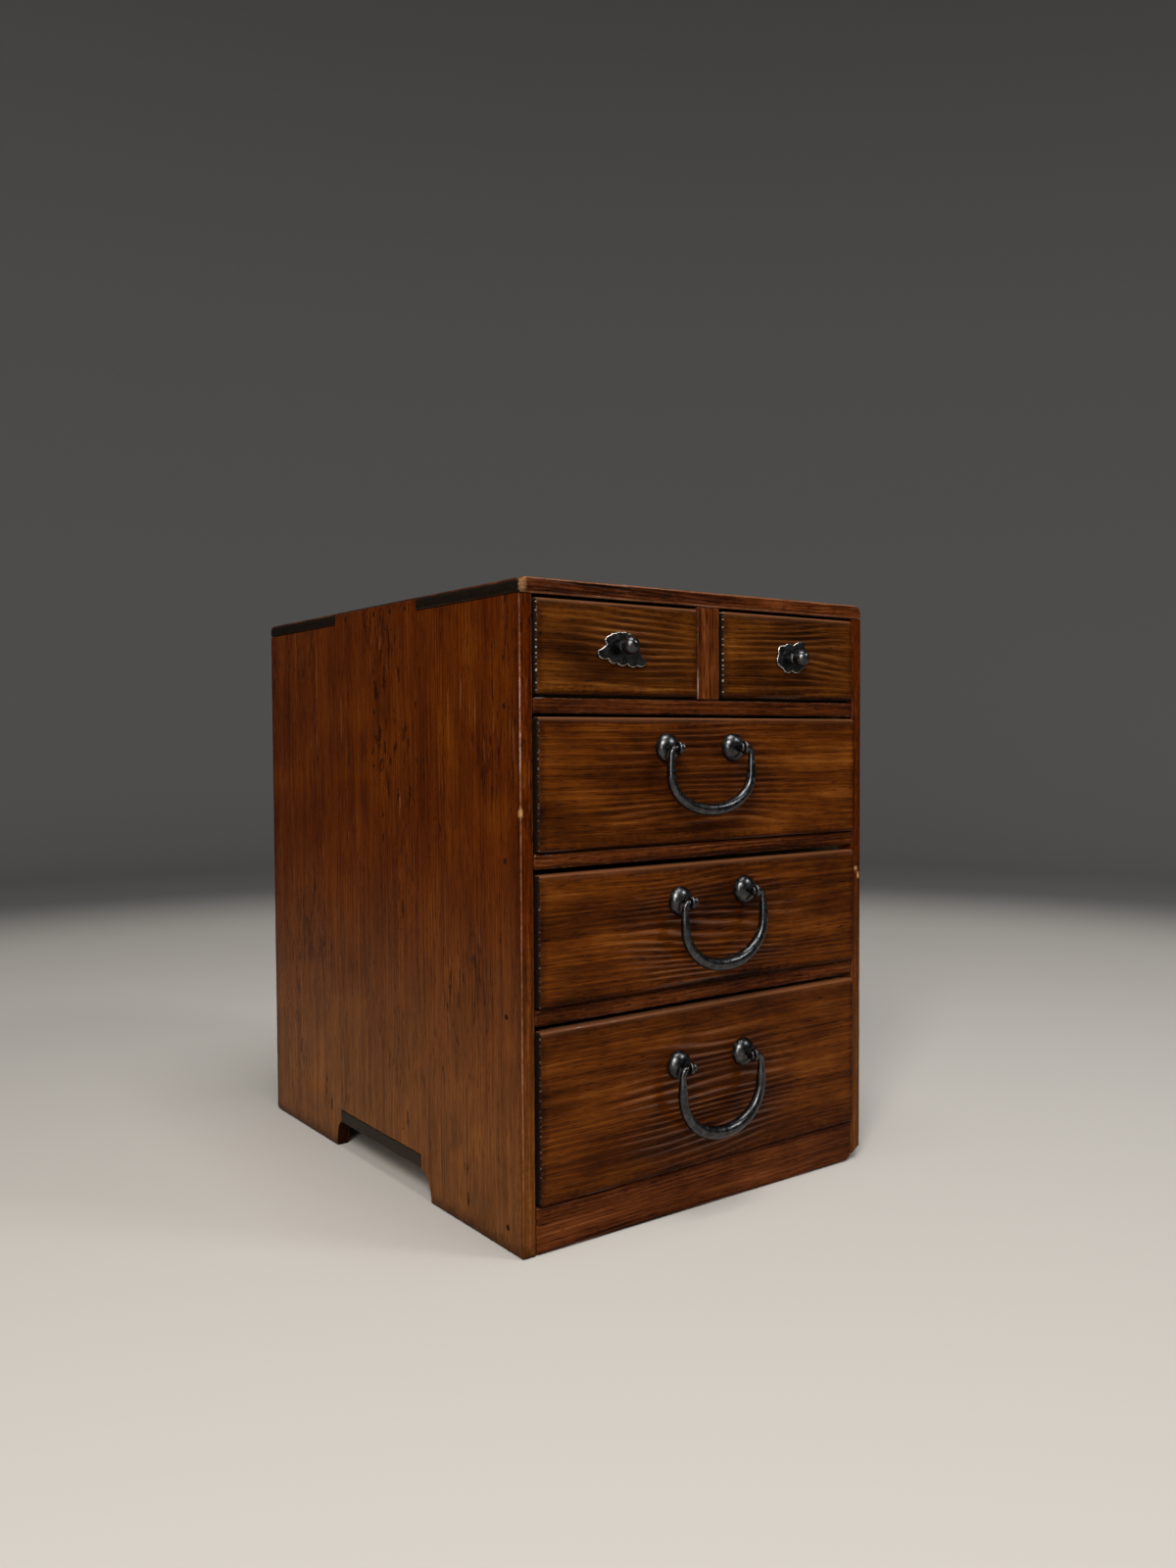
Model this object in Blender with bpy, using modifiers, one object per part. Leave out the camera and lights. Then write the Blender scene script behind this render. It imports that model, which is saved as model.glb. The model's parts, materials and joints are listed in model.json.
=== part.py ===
"""A small Japanese document chest: two small drawers over three wide ones in a case of thin boards.

Metres, +Z up. The front faces -Y, and the origin is on the floor under the middle of the whole chest.
The case stands on its two side panels. Every drawer slides out along -Y, and each wide drawer has a forged
bail that swings in two eye pins.
"""

import math

import bmesh
import bpy
from mathutils import Matrix, Vector

# Case, outside
WIDTH = 0.278
DEPTH = 0.354
HEIGHT = 0.380

# Boards of the case
SIDE_THICKNESS = 0.009
TOP_THICKNESS = 0.009
BOTTOM_THICKNESS = 0.009
BACK_THICKNESS = 0.006
SHELF_THICKNESS = 0.009
RAIL_THICKNESS = 0.009
RAIL_DEPTH = 0.032
PLINTH_THICKNESS = 0.012
POST_WIDTH = 0.0185
POST_DEPTH = 0.014
RUNNER_WIDTH = 0.014
GUIDE_HEIGHT = 0.012
ARRIS = 0.0008
TOP_EDGE_RADIUS = 0.0045
WORN_FOOT_RADIUS = 0.004

# Feet
FOOT_HEIGHT = 0.0185
ARCH_FRONT_FLARE = 0.013
ARCH_REAR_FLARE = 0.007
ARCH_STEPS = 8
PLINTH_FLOOR_GAP = 0.0004
CHIP_HEIGHT = 0.0095
CHIP_WIDTH = 0.016
CHIP_DEPTH = 0.011

# Joinery
JOINT_GAP = 0.0003
TENON_LENGTH = 0.004
TENON_THICKNESS = 0.004
TENON_SETBACK = 0.006
BACK_RABBET = 0.004
OVERCUT = 0.002

# Openings from the top down; the lowest one takes what is left of the height
TOP_ROW_OPENING = 0.0573
UPPER_OPENING = 0.078
MIDDLE_OPENING = 0.079

# Gaps round the drawers
TOP_ROW_HEADROOM = 0.0022
UPPER_HEADROOM = 0.0018
MIDDLE_HEADROOM = 0.0030
LOWER_HEADROOM = 0.0028
SIDE_CLEARANCE = 0.0008
RUN_CLEARANCE = 0.0003
STOP_CLEARANCE = 0.0006
LARGE_FRONT_LIFT = 0.0004
SMALL_FRONT_LIFT = 0.0016
LARGE_PROUD = 0.003
SMALL_PROUD = 0.0015

# Boards of the drawers
LARGE_FRONT_THICKNESS = 0.012
SMALL_FRONT_THICKNESS = 0.010
FRONT_LAP = 0.006
FRONT_ARRIS = 0.0012
DRAWER_SIDE_THICKNESS = 0.006
DRAWER_BACK_THICKNESS = 0.006
DRAWER_BOTTOM_THICKNESS = 0.005
DRAWER_SIDE_DROP = 0.003
DRAWER_BACK_DROP = 0.003

# Bail handles
EYE_SPACING = 0.053
PIVOT_STANDOFF = 0.011
EYE_RADIUS = 0.0032
EYE_WIRE_RADIUS = 0.0009
EYE_STRIP_WIDTH = 0.0027
EYE_NECK_RADIUS = 0.0013
LEG_GAP = 0.0004
LEG_LENGTH = 0.008
LEG_BEND_RADIUS = 0.0013
ROSETTE_RADIUS = 0.009
ROSETTE_HEIGHT = 0.006
ROSETTE_WALL = 0.0011
BAIL_PIN_RADIUS = 0.0017
BAIL_LEG_RADIUS = 0.0028
BAIL_BEND_RADIUS = 0.0039
BAIL_STRAIGHT = 0.0155
BAIL_END_RADIUS = 0.0027
BAIL_END_LENGTH = 0.0018
BAIL_END_CLEARANCE = 0.0005
BAIL_SQUARENESS = 2.1

# Each bail: its place below the front's top edge and from the front's middle, its drop from the pivot to
# its lowest point, and its radius there
UPPER_BAIL_BELOW_TOP = 0.018
UPPER_BAIL_OFFSET = -0.010
UPPER_BAIL_DROP = 0.041
UPPER_BAIL_RADIUS = 0.0036
MIDDLE_BAIL_BELOW_TOP = 0.0204
MIDDLE_BAIL_OFFSET = -0.0003
MIDDLE_BAIL_DROP = 0.0455
MIDDLE_BAIL_RADIUS = 0.0041
MIDDLE_BAIL_TILT = math.radians(3.3)
LOWER_BAIL_BELOW_TOP = 0.0338
LOWER_BAIL_OFFSET = -0.0017
LOWER_BAIL_DROP = 0.0475
LOWER_BAIL_RADIUS = 0.0041

# Knobs of the small drawers
KNOB_RADIUS = 0.0055
KNOB_PROJECTION = 0.0145
KNOB_NECK_RADIUS = 0.0023
KNOB_FLANGE_RADIUS = 0.0033
KNOB_FLANGE_HEIGHT = 0.0012
KNOB_SHANK_RADIUS = 0.0018
KNOB_RIVET_RADIUS = 0.0034
KNOB_RIVET_HEIGHT = 0.0012
LEFT_KNOB_RISE = 0.0018
RIGHT_KNOB_RISE = -0.0006
PLATE_THICKNESS = 0.0010

# Plate outlines round the knob: corner across, corner up, and how far the edge swells before the next corner
WINGED_PLATE = (
    (-0.0123, 0.0034, 0.0005),
    (-0.0083, 0.0062, 0.0005),
    (-0.0042, 0.0076, 0.0004),
    (0.0002, 0.0082, 0.0004),
    (0.0046, 0.0077, 0.0005),
    (0.0086, 0.0062, 0.0012),
    (0.0130, 0.0012, 0.0003),
    (0.0126, -0.0024, 0.0),
    (0.0160, -0.0064, 0.0024),
    (0.0155, -0.0115, 0.0004),
    (0.0113, -0.0110, 0.0015),
    (0.0040, -0.0103, 0.0015),
    (-0.0040, -0.0098, 0.0016),
    (-0.0100, -0.0076, 0.0002),
    (-0.0140, -0.0080, 0.0012),
    (-0.0176, -0.0032, -0.0004),
    (-0.0110, 0.0006, 0.0002),
)
LOBED_PLATE = (
    (-0.0122, 0.0026, 0.0026),
    (-0.0073, 0.0082, 0.0013),
    (0.0012, 0.0087, 0.0013),
    (0.0118, 0.0110, 0.0),
    (0.0116, 0.0080, 0.0012),
    (0.0128, 0.0010, 0.0024),
    (0.0085, -0.0070, 0.0018),
    (0.0, -0.0080, 0.0022),
    (-0.0087, -0.0064, 0.0031),
)
LOBE_STEPS = 5

# Facets
ROUND_STEPS = 20
HOLE_STEPS = 12
WIRE_RESOLUTION = 2
BAIL_RESOLUTION = 4

PARTS_COLLECTION = "document_chest"
CUTTER_COLLECTION = "cutters"

# Levels of the case, worked out from the sizes above
INNER_HALF = WIDTH / 2 - SIDE_THICKNESS
FLOOR_TOP = FOOT_HEIGHT + BOTTOM_THICKNESS
TOP_UNDERSIDE = HEIGHT - TOP_THICKNESS
SHELF_TOP = TOP_UNDERSIDE - TOP_ROW_OPENING
SHELF_UNDERSIDE = SHELF_TOP - SHELF_THICKNESS
MIDDLE_RAIL_TOP = SHELF_UNDERSIDE - UPPER_OPENING
MIDDLE_RAIL_UNDERSIDE = MIDDLE_RAIL_TOP - RAIL_THICKNESS
LOWER_RAIL_TOP = MIDDLE_RAIL_UNDERSIDE - MIDDLE_OPENING
LOWER_RAIL_UNDERSIDE = LOWER_RAIL_TOP - RAIL_THICKNESS

# The ironwork stands out in front, so the case sits back by half of that and the whole chest is centred
BAIL_RADIUS = max(UPPER_BAIL_RADIUS, MIDDLE_BAIL_RADIUS, LOWER_BAIL_RADIUS)
BAIL_PROJECTION = LARGE_PROUD + PIVOT_STANDOFF + max(EYE_RADIUS + EYE_WIRE_RADIUS, BAIL_RADIUS)
FRONT_PROJECTION = max(BAIL_PROJECTION, SMALL_PROUD + KNOB_PROJECTION)
FRONT_Y = (FRONT_PROJECTION - DEPTH) / 2
REAR_Y = FRONT_Y + DEPTH
BACK_FACE_Y = REAR_Y - BACK_THICKNESS
FINGER_FRONT_Y = FRONT_Y + DEPTH / 3
FINGER_REAR_Y = FRONT_Y + 2 * DEPTH / 3

# Handle sizes that follow from others
SHANK_RADIUS = 2 * EYE_WIRE_RADIUS + LEG_GAP / 2
SHANK_HOLE_RADIUS = SHANK_RADIUS + JOINT_GAP
KNOB_HOLE_RADIUS = KNOB_SHANK_RADIUS + JOINT_GAP


def clear_scene():
    for old in list(bpy.data.objects):
        bpy.data.objects.remove(old, do_unlink=True)
    for name in (PARTS_COLLECTION, CUTTER_COLLECTION):
        bpy.context.scene.collection.children.link(bpy.data.collections.new(name))


def make_finish(name, colour, roughness, metallic):
    finish = bpy.data.materials.new(name)
    finish.use_nodes = True
    shader = finish.node_tree.nodes["Principled BSDF"]
    shader.inputs["Base Color"].default_value = (*colour, 1.0)
    shader.inputs["Roughness"].default_value = roughness
    shader.inputs["Metallic"].default_value = metallic
    return finish


def stained_case_wood():
    return make_finish("stained_case_wood", (0.095, 0.030, 0.008), 0.35, 0.0)


def stained_front_wood():
    return make_finish("stained_front_wood", (0.120, 0.045, 0.010), 0.32, 0.0)


def bare_inner_wood():
    return make_finish("bare_inner_wood", (0.420, 0.260, 0.130), 0.70, 0.0)


def forged_iron():
    return make_finish("forged_iron", (0.022, 0.022, 0.023), 0.42, 0.85)


def keep_as_part(piece, finish):
    bpy.data.collections[PARTS_COLLECTION].objects.link(piece)
    piece.data.materials.append(finish)


def keep_as_cutter(piece):
    bpy.data.collections[CUTTER_COLLECTION].objects.link(piece)
    piece.hide_render = True
    piece.display_type = "WIRE"


def add_empty(name, location, parent, tilt=0.0):
    """A frame for pieces that move together; its tilt turns it about Y, right end up."""
    empty = bpy.data.objects.new(name, None)
    bpy.data.collections[PARTS_COLLECTION].objects.link(empty)
    empty.location = location
    empty.rotation_euler = (0.0, -tilt, 0.0)
    empty.parent = parent
    return empty


def mesh_object(name, shape, parent):
    mesh = bpy.data.meshes.new(name)
    shape.to_mesh(mesh)
    shape.free()
    piece = bpy.data.objects.new(name, mesh)
    piece.parent = parent
    return piece


def box_object(name, low, high, parent):
    """A box between two corners in its parent's frame, with its origin in its middle."""
    low = Vector(low)
    high = Vector(high)
    shape = bmesh.new()
    bmesh.ops.create_cube(shape, size=1.0)
    bmesh.ops.scale(shape, vec=high - low, verts=shape.verts)
    box = mesh_object(name, shape, parent)
    box.location = (low + high) / 2
    return box


def add_boolean(piece, operation, other):
    modifier = piece.modifiers.new(operation.title(), "BOOLEAN")
    modifier.operation = operation
    modifier.object = other


def cut_box(piece, low, high, parent):
    """Cuts out a box that is given in the same frame as the piece's own corners."""
    cutter = box_object(piece.name + "_cut", low, high, parent)
    keep_as_cutter(cutter)
    add_boolean(piece, "DIFFERENCE", cutter)


def cut_hole(piece, centre, radius, length, parent):
    """Drills a hole along Y through the given point."""
    shape = bmesh.new()
    turn = Matrix.Rotation(math.radians(90), 4, "X")
    bmesh.ops.create_cone(
        shape,
        cap_ends=True,
        segments=HOLE_STEPS,
        radius1=radius,
        radius2=radius,
        depth=length,
        matrix=turn,
    )
    drill = mesh_object(piece.name + "_drill", shape, parent)
    drill.location = centre
    keep_as_cutter(drill)
    add_boolean(piece, "DIFFERENCE", drill)


def ease_arrises(board, width):
    bevel = board.modifiers.new("Eased arrises", "BEVEL")
    bevel.width = width
    bevel.segments = 1
    bevel.limit_method = "ANGLE"
    bevel.angle_limit = math.radians(40)


def add_board(name, low, high, finish, parent, arris=ARRIS):
    board = box_object(name, low, high, parent)
    keep_as_part(board, finish)
    ease_arrises(board, arris)
    return board


def round_edge(board, axis, signs, radius):
    """Rounds the one edge of a box that runs along an axis, on the side that the signs point to."""
    shape = bmesh.new()
    shape.from_mesh(board.data)
    chosen = []
    for edge in shape.edges:
        start, end = (vert.co for vert in edge.verts)
        middle = (start + end) / 2
        runs_along = abs((end - start).normalized()[axis]) > 0.99
        if runs_along and all(middle[i] * sign > 0 for i, sign in signs.items()):
            chosen.append(edge)
    bmesh.ops.bevel(shape, geom=chosen, offset=radius, segments=4, profile=0.5, affect="EDGES")
    shape.to_mesh(board.data)
    shape.free()


def add_tenoned_board(name, low, high, tenon_low, tenon_high, finish, parent):
    """A board with a stub tenon at each end, as one bar that runs through it."""
    board = add_board(name, low, high, finish, parent)
    bar = box_object(name + "_tenons", tenon_low, tenon_high, parent)
    keep_as_cutter(bar)
    add_boolean(board, "UNION", bar)
    return board


def cut_mortises(panels, tenon_low, tenon_high, parent):
    """Cuts the seat of a tenoned board's ends, with the joint's gap all round."""
    gap = Vector((JOINT_GAP, JOINT_GAP, JOINT_GAP))
    for panel in panels:
        cut_box(panel, Vector(tenon_low) - gap, Vector(tenon_high) + gap, parent)


def solid_outline(name, loops, thickness):
    """A flat outline, with any holes as further loops, extruded about its plane and made a mesh."""
    curve = bpy.data.curves.new(name, "CURVE")
    curve.dimensions = "2D"
    curve.fill_mode = "BOTH"
    curve.extrude = thickness / 2
    for loop in loops:
        spline = curve.splines.new("POLY")
        spline.points.add(len(loop) - 1)
        for point, (across, up) in zip(spline.points, loop):
            point.co = (across, up, 0.0, 1.0)
        spline.use_cyclic_u = True
    flat = bpy.data.objects.new(name, curve)
    bpy.context.scene.collection.objects.link(flat)
    graph = bpy.context.evaluated_depsgraph_get()
    mesh = bpy.data.meshes.new_from_object(flat.evaluated_get(graph))
    bpy.data.objects.remove(flat, do_unlink=True)
    shape = bmesh.new()
    shape.from_mesh(mesh)
    bmesh.ops.remove_doubles(shape, verts=shape.verts, dist=0.00001)
    bmesh.ops.recalc_face_normals(shape, faces=shape.faces)
    shape.to_mesh(mesh)
    shape.free()
    return bpy.data.objects.new(name, mesh)


def turned_piece(name, profile, closed, parent):
    """Turns a profile of (radius, height), listed from the top down its outer side, about the local Z."""
    mesh = bpy.data.meshes.new(name)
    points = [(radius, 0.0, height) for radius, height in profile]
    edges = [(i, i + 1) for i in range(len(points) - 1)]
    if closed:
        edges.append((len(points) - 1, 0))
    mesh.from_pydata(points, edges, [])
    piece = bpy.data.objects.new(name, mesh)
    piece.parent = parent
    screw = piece.modifiers.new("Turned", "SCREW")
    screw.steps = ROUND_STEPS
    screw.render_steps = ROUND_STEPS
    screw.use_merge_vertices = True
    screw.merge_threshold = 0.00001
    screw.use_smooth_shade = True
    return piece


def wire_piece(name, points, radii, resolution, parent):
    """A round bar along a line of points, with its radius given at each."""
    curve = bpy.data.curves.new(name, "CURVE")
    curve.dimensions = "3D"
    curve.bevel_depth = 1.0
    curve.bevel_resolution = resolution
    curve.use_fill_caps = True
    spline = curve.splines.new("POLY")
    spline.points.add(len(points) - 1)
    for control, place, radius in zip(spline.points, points, radii):
        control.co = (*place, 1.0)
        control.radius = radius
    spline.use_smooth = True
    piece = bpy.data.objects.new(name, curve)
    piece.parent = parent
    return piece


def arc(centre, radius, start, end, steps):
    """Points on an arc in a plane, from one angle to another, both ends included."""
    turns = [start + (end - start) * i / steps for i in range(steps + 1)]
    return [(centre[0] + radius * math.cos(t), centre[1] + radius * math.sin(t)) for t in turns]


def swollen_outline(corners):
    """Joins corners with shallow arcs, each swelling out to the left of the way from corner to corner."""
    outline = []
    for here, after in zip(corners, corners[1:] + corners[:1]):
        start = Vector(here[:2])
        run = Vector(after[:2]) - start
        out = Vector((-run.y, run.x)).normalized()
        steps = LOBE_STEPS if abs(here[2]) > 0 else 1
        for i in range(steps):
            share = i / steps
            outline.append(start + run * share + out * here[2] * 4 * share * (1 - share))
    return outline


def circle(radius, steps):
    return arc((0.0, 0.0), radius, 0.0, math.tau * (steps - 1) / steps, steps - 1)


def foot_arch(name, side, chest):
    """The cutter for the arch under a side panel and for the bottom board's tongue above it."""
    tongue_front = FINGER_FRONT_Y - JOINT_GAP / 2
    tongue_rear = FINGER_REAR_Y + JOINT_GAP / 2
    quarter = [i / ARCH_STEPS * math.pi / 2 for i in range(ARCH_STEPS + 1)]
    outline = [(tongue_front - ARCH_FRONT_FLARE, -OVERCUT)]
    for t in quarter:
        outline.append((tongue_front - ARCH_FRONT_FLARE * math.cos(t), FOOT_HEIGHT * math.sin(t)))
    outline.append((tongue_front, FLOOR_TOP + JOINT_GAP))
    outline.append((tongue_rear, FLOOR_TOP + JOINT_GAP))
    for t in reversed(quarter):
        outline.append((tongue_rear + ARCH_REAR_FLARE * math.cos(t), FOOT_HEIGHT * math.sin(t)))
    outline.append((tongue_rear + ARCH_REAR_FLARE, -OVERCUT))
    cutter = solid_outline(name, [outline], SIDE_THICKNESS + 2 * OVERCUT)
    to_side = Matrix(((0, 0, 1), (1, 0, 0), (0, 1, 0))).to_4x4()
    cutter.matrix_local = Matrix.Translation((side * (INNER_HALF + SIDE_THICKNESS / 2), 0, 0)) @ to_side
    cutter.parent = chest
    keep_as_cutter(cutter)
    return cutter


def build_side_panel(name, side, finish, chest):
    """A side with a finger up through the top board, an arched foot and a rabbet for the back."""
    inner = side * INNER_HALF
    outer = side * WIDTH / 2
    near, far = sorted((inner, outer))
    panel = add_board(name, (near, FRONT_Y, 0), (far, REAR_Y, HEIGHT), finish, chest)
    round_edge(panel, 1, {0: side, 2: 1}, TOP_EDGE_RADIUS)
    round_edge(panel, 0, {1: 1, 2: -1}, WORN_FOOT_RADIUS)
    shoulder = TOP_UNDERSIDE - JOINT_GAP
    past_near = near - OVERCUT
    past_far = far + OVERCUT
    finger_ends = (
        (FRONT_Y - OVERCUT, FINGER_FRONT_Y + JOINT_GAP / 2),
        (FINGER_REAR_Y - JOINT_GAP / 2, REAR_Y + OVERCUT),
    )
    for start, end in finger_ends:
        cut_box(panel, (past_near, start, shoulder), (past_far, end, HEIGHT + OVERCUT), chest)
    rabbet = sorted((inner - side * OVERCUT, inner + side * (BACK_RABBET + JOINT_GAP)))
    cut_box(
        panel,
        (rabbet[0], BACK_FACE_Y - JOINT_GAP, FOOT_HEIGHT - JOINT_GAP),
        (rabbet[1], REAR_Y + OVERCUT, HEIGHT + OVERCUT),
        chest,
    )
    add_boolean(panel, "DIFFERENCE", foot_arch(name + "_arch", side, chest))
    return panel


def build_top_board(finish, chest):
    """The top, with a notch in each end for a side's finger and a rabbet for the back."""
    half = WIDTH / 2
    low = (-half, FRONT_Y, TOP_UNDERSIDE)
    high = (half, REAR_Y, HEIGHT)
    top = add_board("top_board", low, high, finish, chest)
    for side in (-1, 1):
        round_edge(top, 1, {0: side, 2: 1}, TOP_EDGE_RADIUS)
        notch = sorted((side * (INNER_HALF - JOINT_GAP), side * (half + OVERCUT)))
        cut_box(
            top,
            (notch[0], FINGER_FRONT_Y - JOINT_GAP / 2, TOP_UNDERSIDE - OVERCUT),
            (notch[1], FINGER_REAR_Y + JOINT_GAP / 2, HEIGHT + OVERCUT),
            chest,
        )
    reach = INNER_HALF + BACK_RABBET + JOINT_GAP
    cut_box(
        top,
        (-reach, BACK_FACE_Y - JOINT_GAP, TOP_UNDERSIDE - OVERCUT),
        (reach, REAR_Y + OVERCUT, TOP_UNDERSIDE + BACK_RABBET + JOINT_GAP),
        chest,
    )
    return top


def build_bottom_board(finish, chest):
    """The floor of the case, with a tongue through the middle of each side panel."""
    half = WIDTH / 2
    front = FRONT_Y + PLINTH_THICKNESS + JOINT_GAP
    rear = BACK_FACE_Y - JOINT_GAP
    bottom = add_board("bottom_board", (-half, front, FOOT_HEIGHT), (half, rear, FLOOR_TOP), finish, chest)
    corner_ends = (
        (front - OVERCUT, FINGER_FRONT_Y + JOINT_GAP / 2),
        (FINGER_REAR_Y - JOINT_GAP / 2, rear + OVERCUT),
    )
    for side in (-1, 1):
        corner = sorted((side * (INNER_HALF - JOINT_GAP), side * (half + OVERCUT)))
        for start, end in corner_ends:
            cut_box(
                bottom,
                (corner[0], start, FOOT_HEIGHT - OVERCUT),
                (corner[1], end, FLOOR_TOP + OVERCUT),
                chest,
            )
    return bottom


def build_back_panel(finish, chest):
    reach = INNER_HALF + BACK_RABBET
    low = (-reach, BACK_FACE_Y, FOOT_HEIGHT)
    high = (reach, REAR_Y, TOP_UNDERSIDE + BACK_RABBET)
    add_board("back_panel", low, high, finish, chest)


def build_cross_board(name, rear_y, underside, top, tenon_rear_y, panels, finish, chest):
    """A shelf, rail or plinth between the sides, flush with the front, tenoned into both panels."""
    reach = INNER_HALF - JOINT_GAP
    tenon_reach = INNER_HALF + TENON_LENGTH
    middle = (underside + top) / 2
    tenon_low = (-tenon_reach, FRONT_Y + TENON_SETBACK, middle - TENON_THICKNESS / 2)
    tenon_high = (tenon_reach, tenon_rear_y, middle + TENON_THICKNESS / 2)
    low = (-reach, FRONT_Y, underside)
    high = (reach, rear_y, top)
    board = add_tenoned_board(name, low, high, tenon_low, tenon_high, finish, chest)
    cut_mortises(panels, tenon_low, tenon_high, chest)
    return board


def build_runners(level, top, finish, chest):
    """The strips behind a rail that carry the drawer above it."""
    front = FRONT_Y + RAIL_DEPTH + JOINT_GAP
    rear = BACK_FACE_Y - JOINT_GAP
    for word, side in (("left", -1), ("right", 1)):
        across = sorted((side * (INNER_HALF - JOINT_GAP), side * (INNER_HALF - JOINT_GAP - RUNNER_WIDTH)))
        low = (across[0], front, top - RAIL_THICKNESS)
        high = (across[1], rear, top)
        add_board(f"{level}_runner_{word}", low, high, finish, chest)


def build_divider(shelf, top, finish, inner_finish, chest):
    """The post between the small drawers, tenoned up and down, and the guide strip behind it."""
    half = POST_WIDTH / 2
    rear = FRONT_Y + POST_DEPTH
    tenon_half = half - TENON_SETBACK
    middle_y = FRONT_Y + POST_DEPTH / 2
    tenon_low = (-tenon_half, middle_y - TENON_THICKNESS / 2, SHELF_TOP - TENON_LENGTH)
    tenon_high = (tenon_half, middle_y + TENON_THICKNESS / 2, TOP_UNDERSIDE + TENON_LENGTH)
    low = (-half, FRONT_Y, SHELF_TOP + JOINT_GAP)
    high = (half, rear, TOP_UNDERSIDE - JOINT_GAP)
    add_tenoned_board("divider_post", low, high, tenon_low, tenon_high, finish, chest)
    cut_mortises((shelf, top), tenon_low, tenon_high, chest)
    guide_low = (-half, rear + JOINT_GAP, SHELF_TOP + JOINT_GAP)
    guide_high = (half, BACK_FACE_Y - JOINT_GAP, SHELF_TOP + JOINT_GAP + GUIDE_HEIGHT)
    add_board("drawer_guide", guide_low, guide_high, inner_finish, chest)


def chip_right_foot(panel, plinth, chest):
    """The broken corner at the foot of the right panel, which runs on into the plinth."""
    slope = math.atan2(CHIP_HEIGHT, CHIP_WIDTH)
    reach = math.hypot(CHIP_HEIGHT, CHIP_WIDTH)
    for piece in (panel, plinth):
        low = (-OVERCUT, -OVERCUT, -2 * CHIP_HEIGHT)
        high = (reach + OVERCUT, CHIP_DEPTH, 0.0)
        wedge = box_object(piece.name + "_chip", low, high, chest)
        place = Matrix.Translation((WIDTH / 2 - CHIP_WIDTH, FRONT_Y, 0.0))
        wedge.matrix_local = place @ Matrix.Rotation(-slope, 4, "Y") @ Matrix.Translation(wedge.location)
        keep_as_cutter(wedge)
        add_boolean(piece, "DIFFERENCE", wedge)


def build_case(finishes, chest):
    case_wood = finishes["case"]
    inner_wood = finishes["inner"]
    panels = [
        build_side_panel("side_panel_left", -1, case_wood, chest),
        build_side_panel("side_panel_right", 1, case_wood, chest),
    ]
    top = build_top_board(case_wood, chest)
    build_bottom_board(inner_wood, chest)
    build_back_panel(inner_wood, chest)
    full_rear = BACK_FACE_Y - JOINT_GAP
    shelf = build_cross_board(
        "upper_shelf",
        full_rear,
        SHELF_UNDERSIDE,
        SHELF_TOP,
        full_rear - TENON_SETBACK,
        panels,
        case_wood,
        chest,
    )
    rail_rear = FRONT_Y + RAIL_DEPTH
    rails = (("middle", MIDDLE_RAIL_TOP), ("lower", LOWER_RAIL_TOP))
    for level, rail_top in rails:
        build_cross_board(
            f"{level}_rail",
            rail_rear,
            rail_top - RAIL_THICKNESS,
            rail_top,
            rail_rear - TENON_SETBACK,
            panels,
            case_wood,
            chest,
        )
        build_runners(level, rail_top, inner_wood, chest)
    plinth = build_cross_board(
        "plinth_rail",
        FRONT_Y + PLINTH_THICKNESS,
        PLINTH_FLOOR_GAP,
        FLOOR_TOP - JOINT_GAP,
        FRONT_Y + TENON_SETBACK + TENON_THICKNESS,
        panels,
        case_wood,
        chest,
    )
    build_divider(shelf, top, case_wood, inner_wood, chest)
    chip_right_foot(panels[1], plinth, chest)


def build_drawer(name, centre_x, floor_z, width, opening, headroom, small, finishes, chest):
    """A drawer of five boards. Its frame's origin is in the middle of its front's face, at its underside."""
    proud = SMALL_PROUD if small else LARGE_PROUD
    lift = SMALL_FRONT_LIFT if small else LARGE_FRONT_LIFT
    thick = SMALL_FRONT_THICKNESS if small else LARGE_FRONT_THICKNESS
    slide = add_empty(f"{name}_slide", (centre_x, FRONT_Y - proud, floor_z + RUN_CLEARANCE), chest)
    half = width / 2
    front_top = opening - headroom - RUN_CLEARANCE
    length = BACK_FACE_Y - STOP_CLEARANCE - FRONT_Y + proud
    side_foot = DRAWER_BOTTOM_THICKNESS + JOINT_GAP
    side_top = front_top - DRAWER_SIDE_DROP
    inner_half = half - DRAWER_SIDE_THICKNESS
    lap_seat = FRONT_LAP + JOINT_GAP

    front = add_board(
        f"{name}_front", (-half, 0.0, lift), (half, thick, front_top), finishes["front"], slide, FRONT_ARRIS
    )
    past = thick + OVERCUT
    for side in (-1, 1):
        rabbet = sorted((side * (inner_half - JOINT_GAP), side * (half + OVERCUT)))
        cut_box(front, (rabbet[0], FRONT_LAP, -OVERCUT), (rabbet[1], past, front_top + OVERCUT), slide)
    cut_box(front, (-half - OVERCUT, FRONT_LAP, -OVERCUT), (half + OVERCUT, past, side_foot), slide)

    inner_wood = finishes["inner"]
    for word, side in (("left", -1), ("right", 1)):
        across = sorted((side * half, side * inner_half))
        low = (across[0], lap_seat, side_foot)
        high = (across[1], length, side_top)
        add_board(f"{name}_side_{word}", low, high, inner_wood, slide)
    back_reach = inner_half - JOINT_GAP
    back_low = (-back_reach, length - DRAWER_BACK_THICKNESS, side_foot)
    back_high = (back_reach, length, side_top - DRAWER_BACK_DROP)
    add_board(f"{name}_back", back_low, back_high, inner_wood, slide)
    bottom_low = (-half, lap_seat, 0.0)
    bottom_high = (half, length, DRAWER_BOTTOM_THICKNESS)
    add_board(f"{name}_bottom", bottom_low, bottom_high, inner_wood, slide)
    return slide, front, front_top


def eased(start, end, share):
    """A value that leaves its start and reaches its end without a kink."""
    return start + (end - start) * share * share * (3 - 2 * share)


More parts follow.
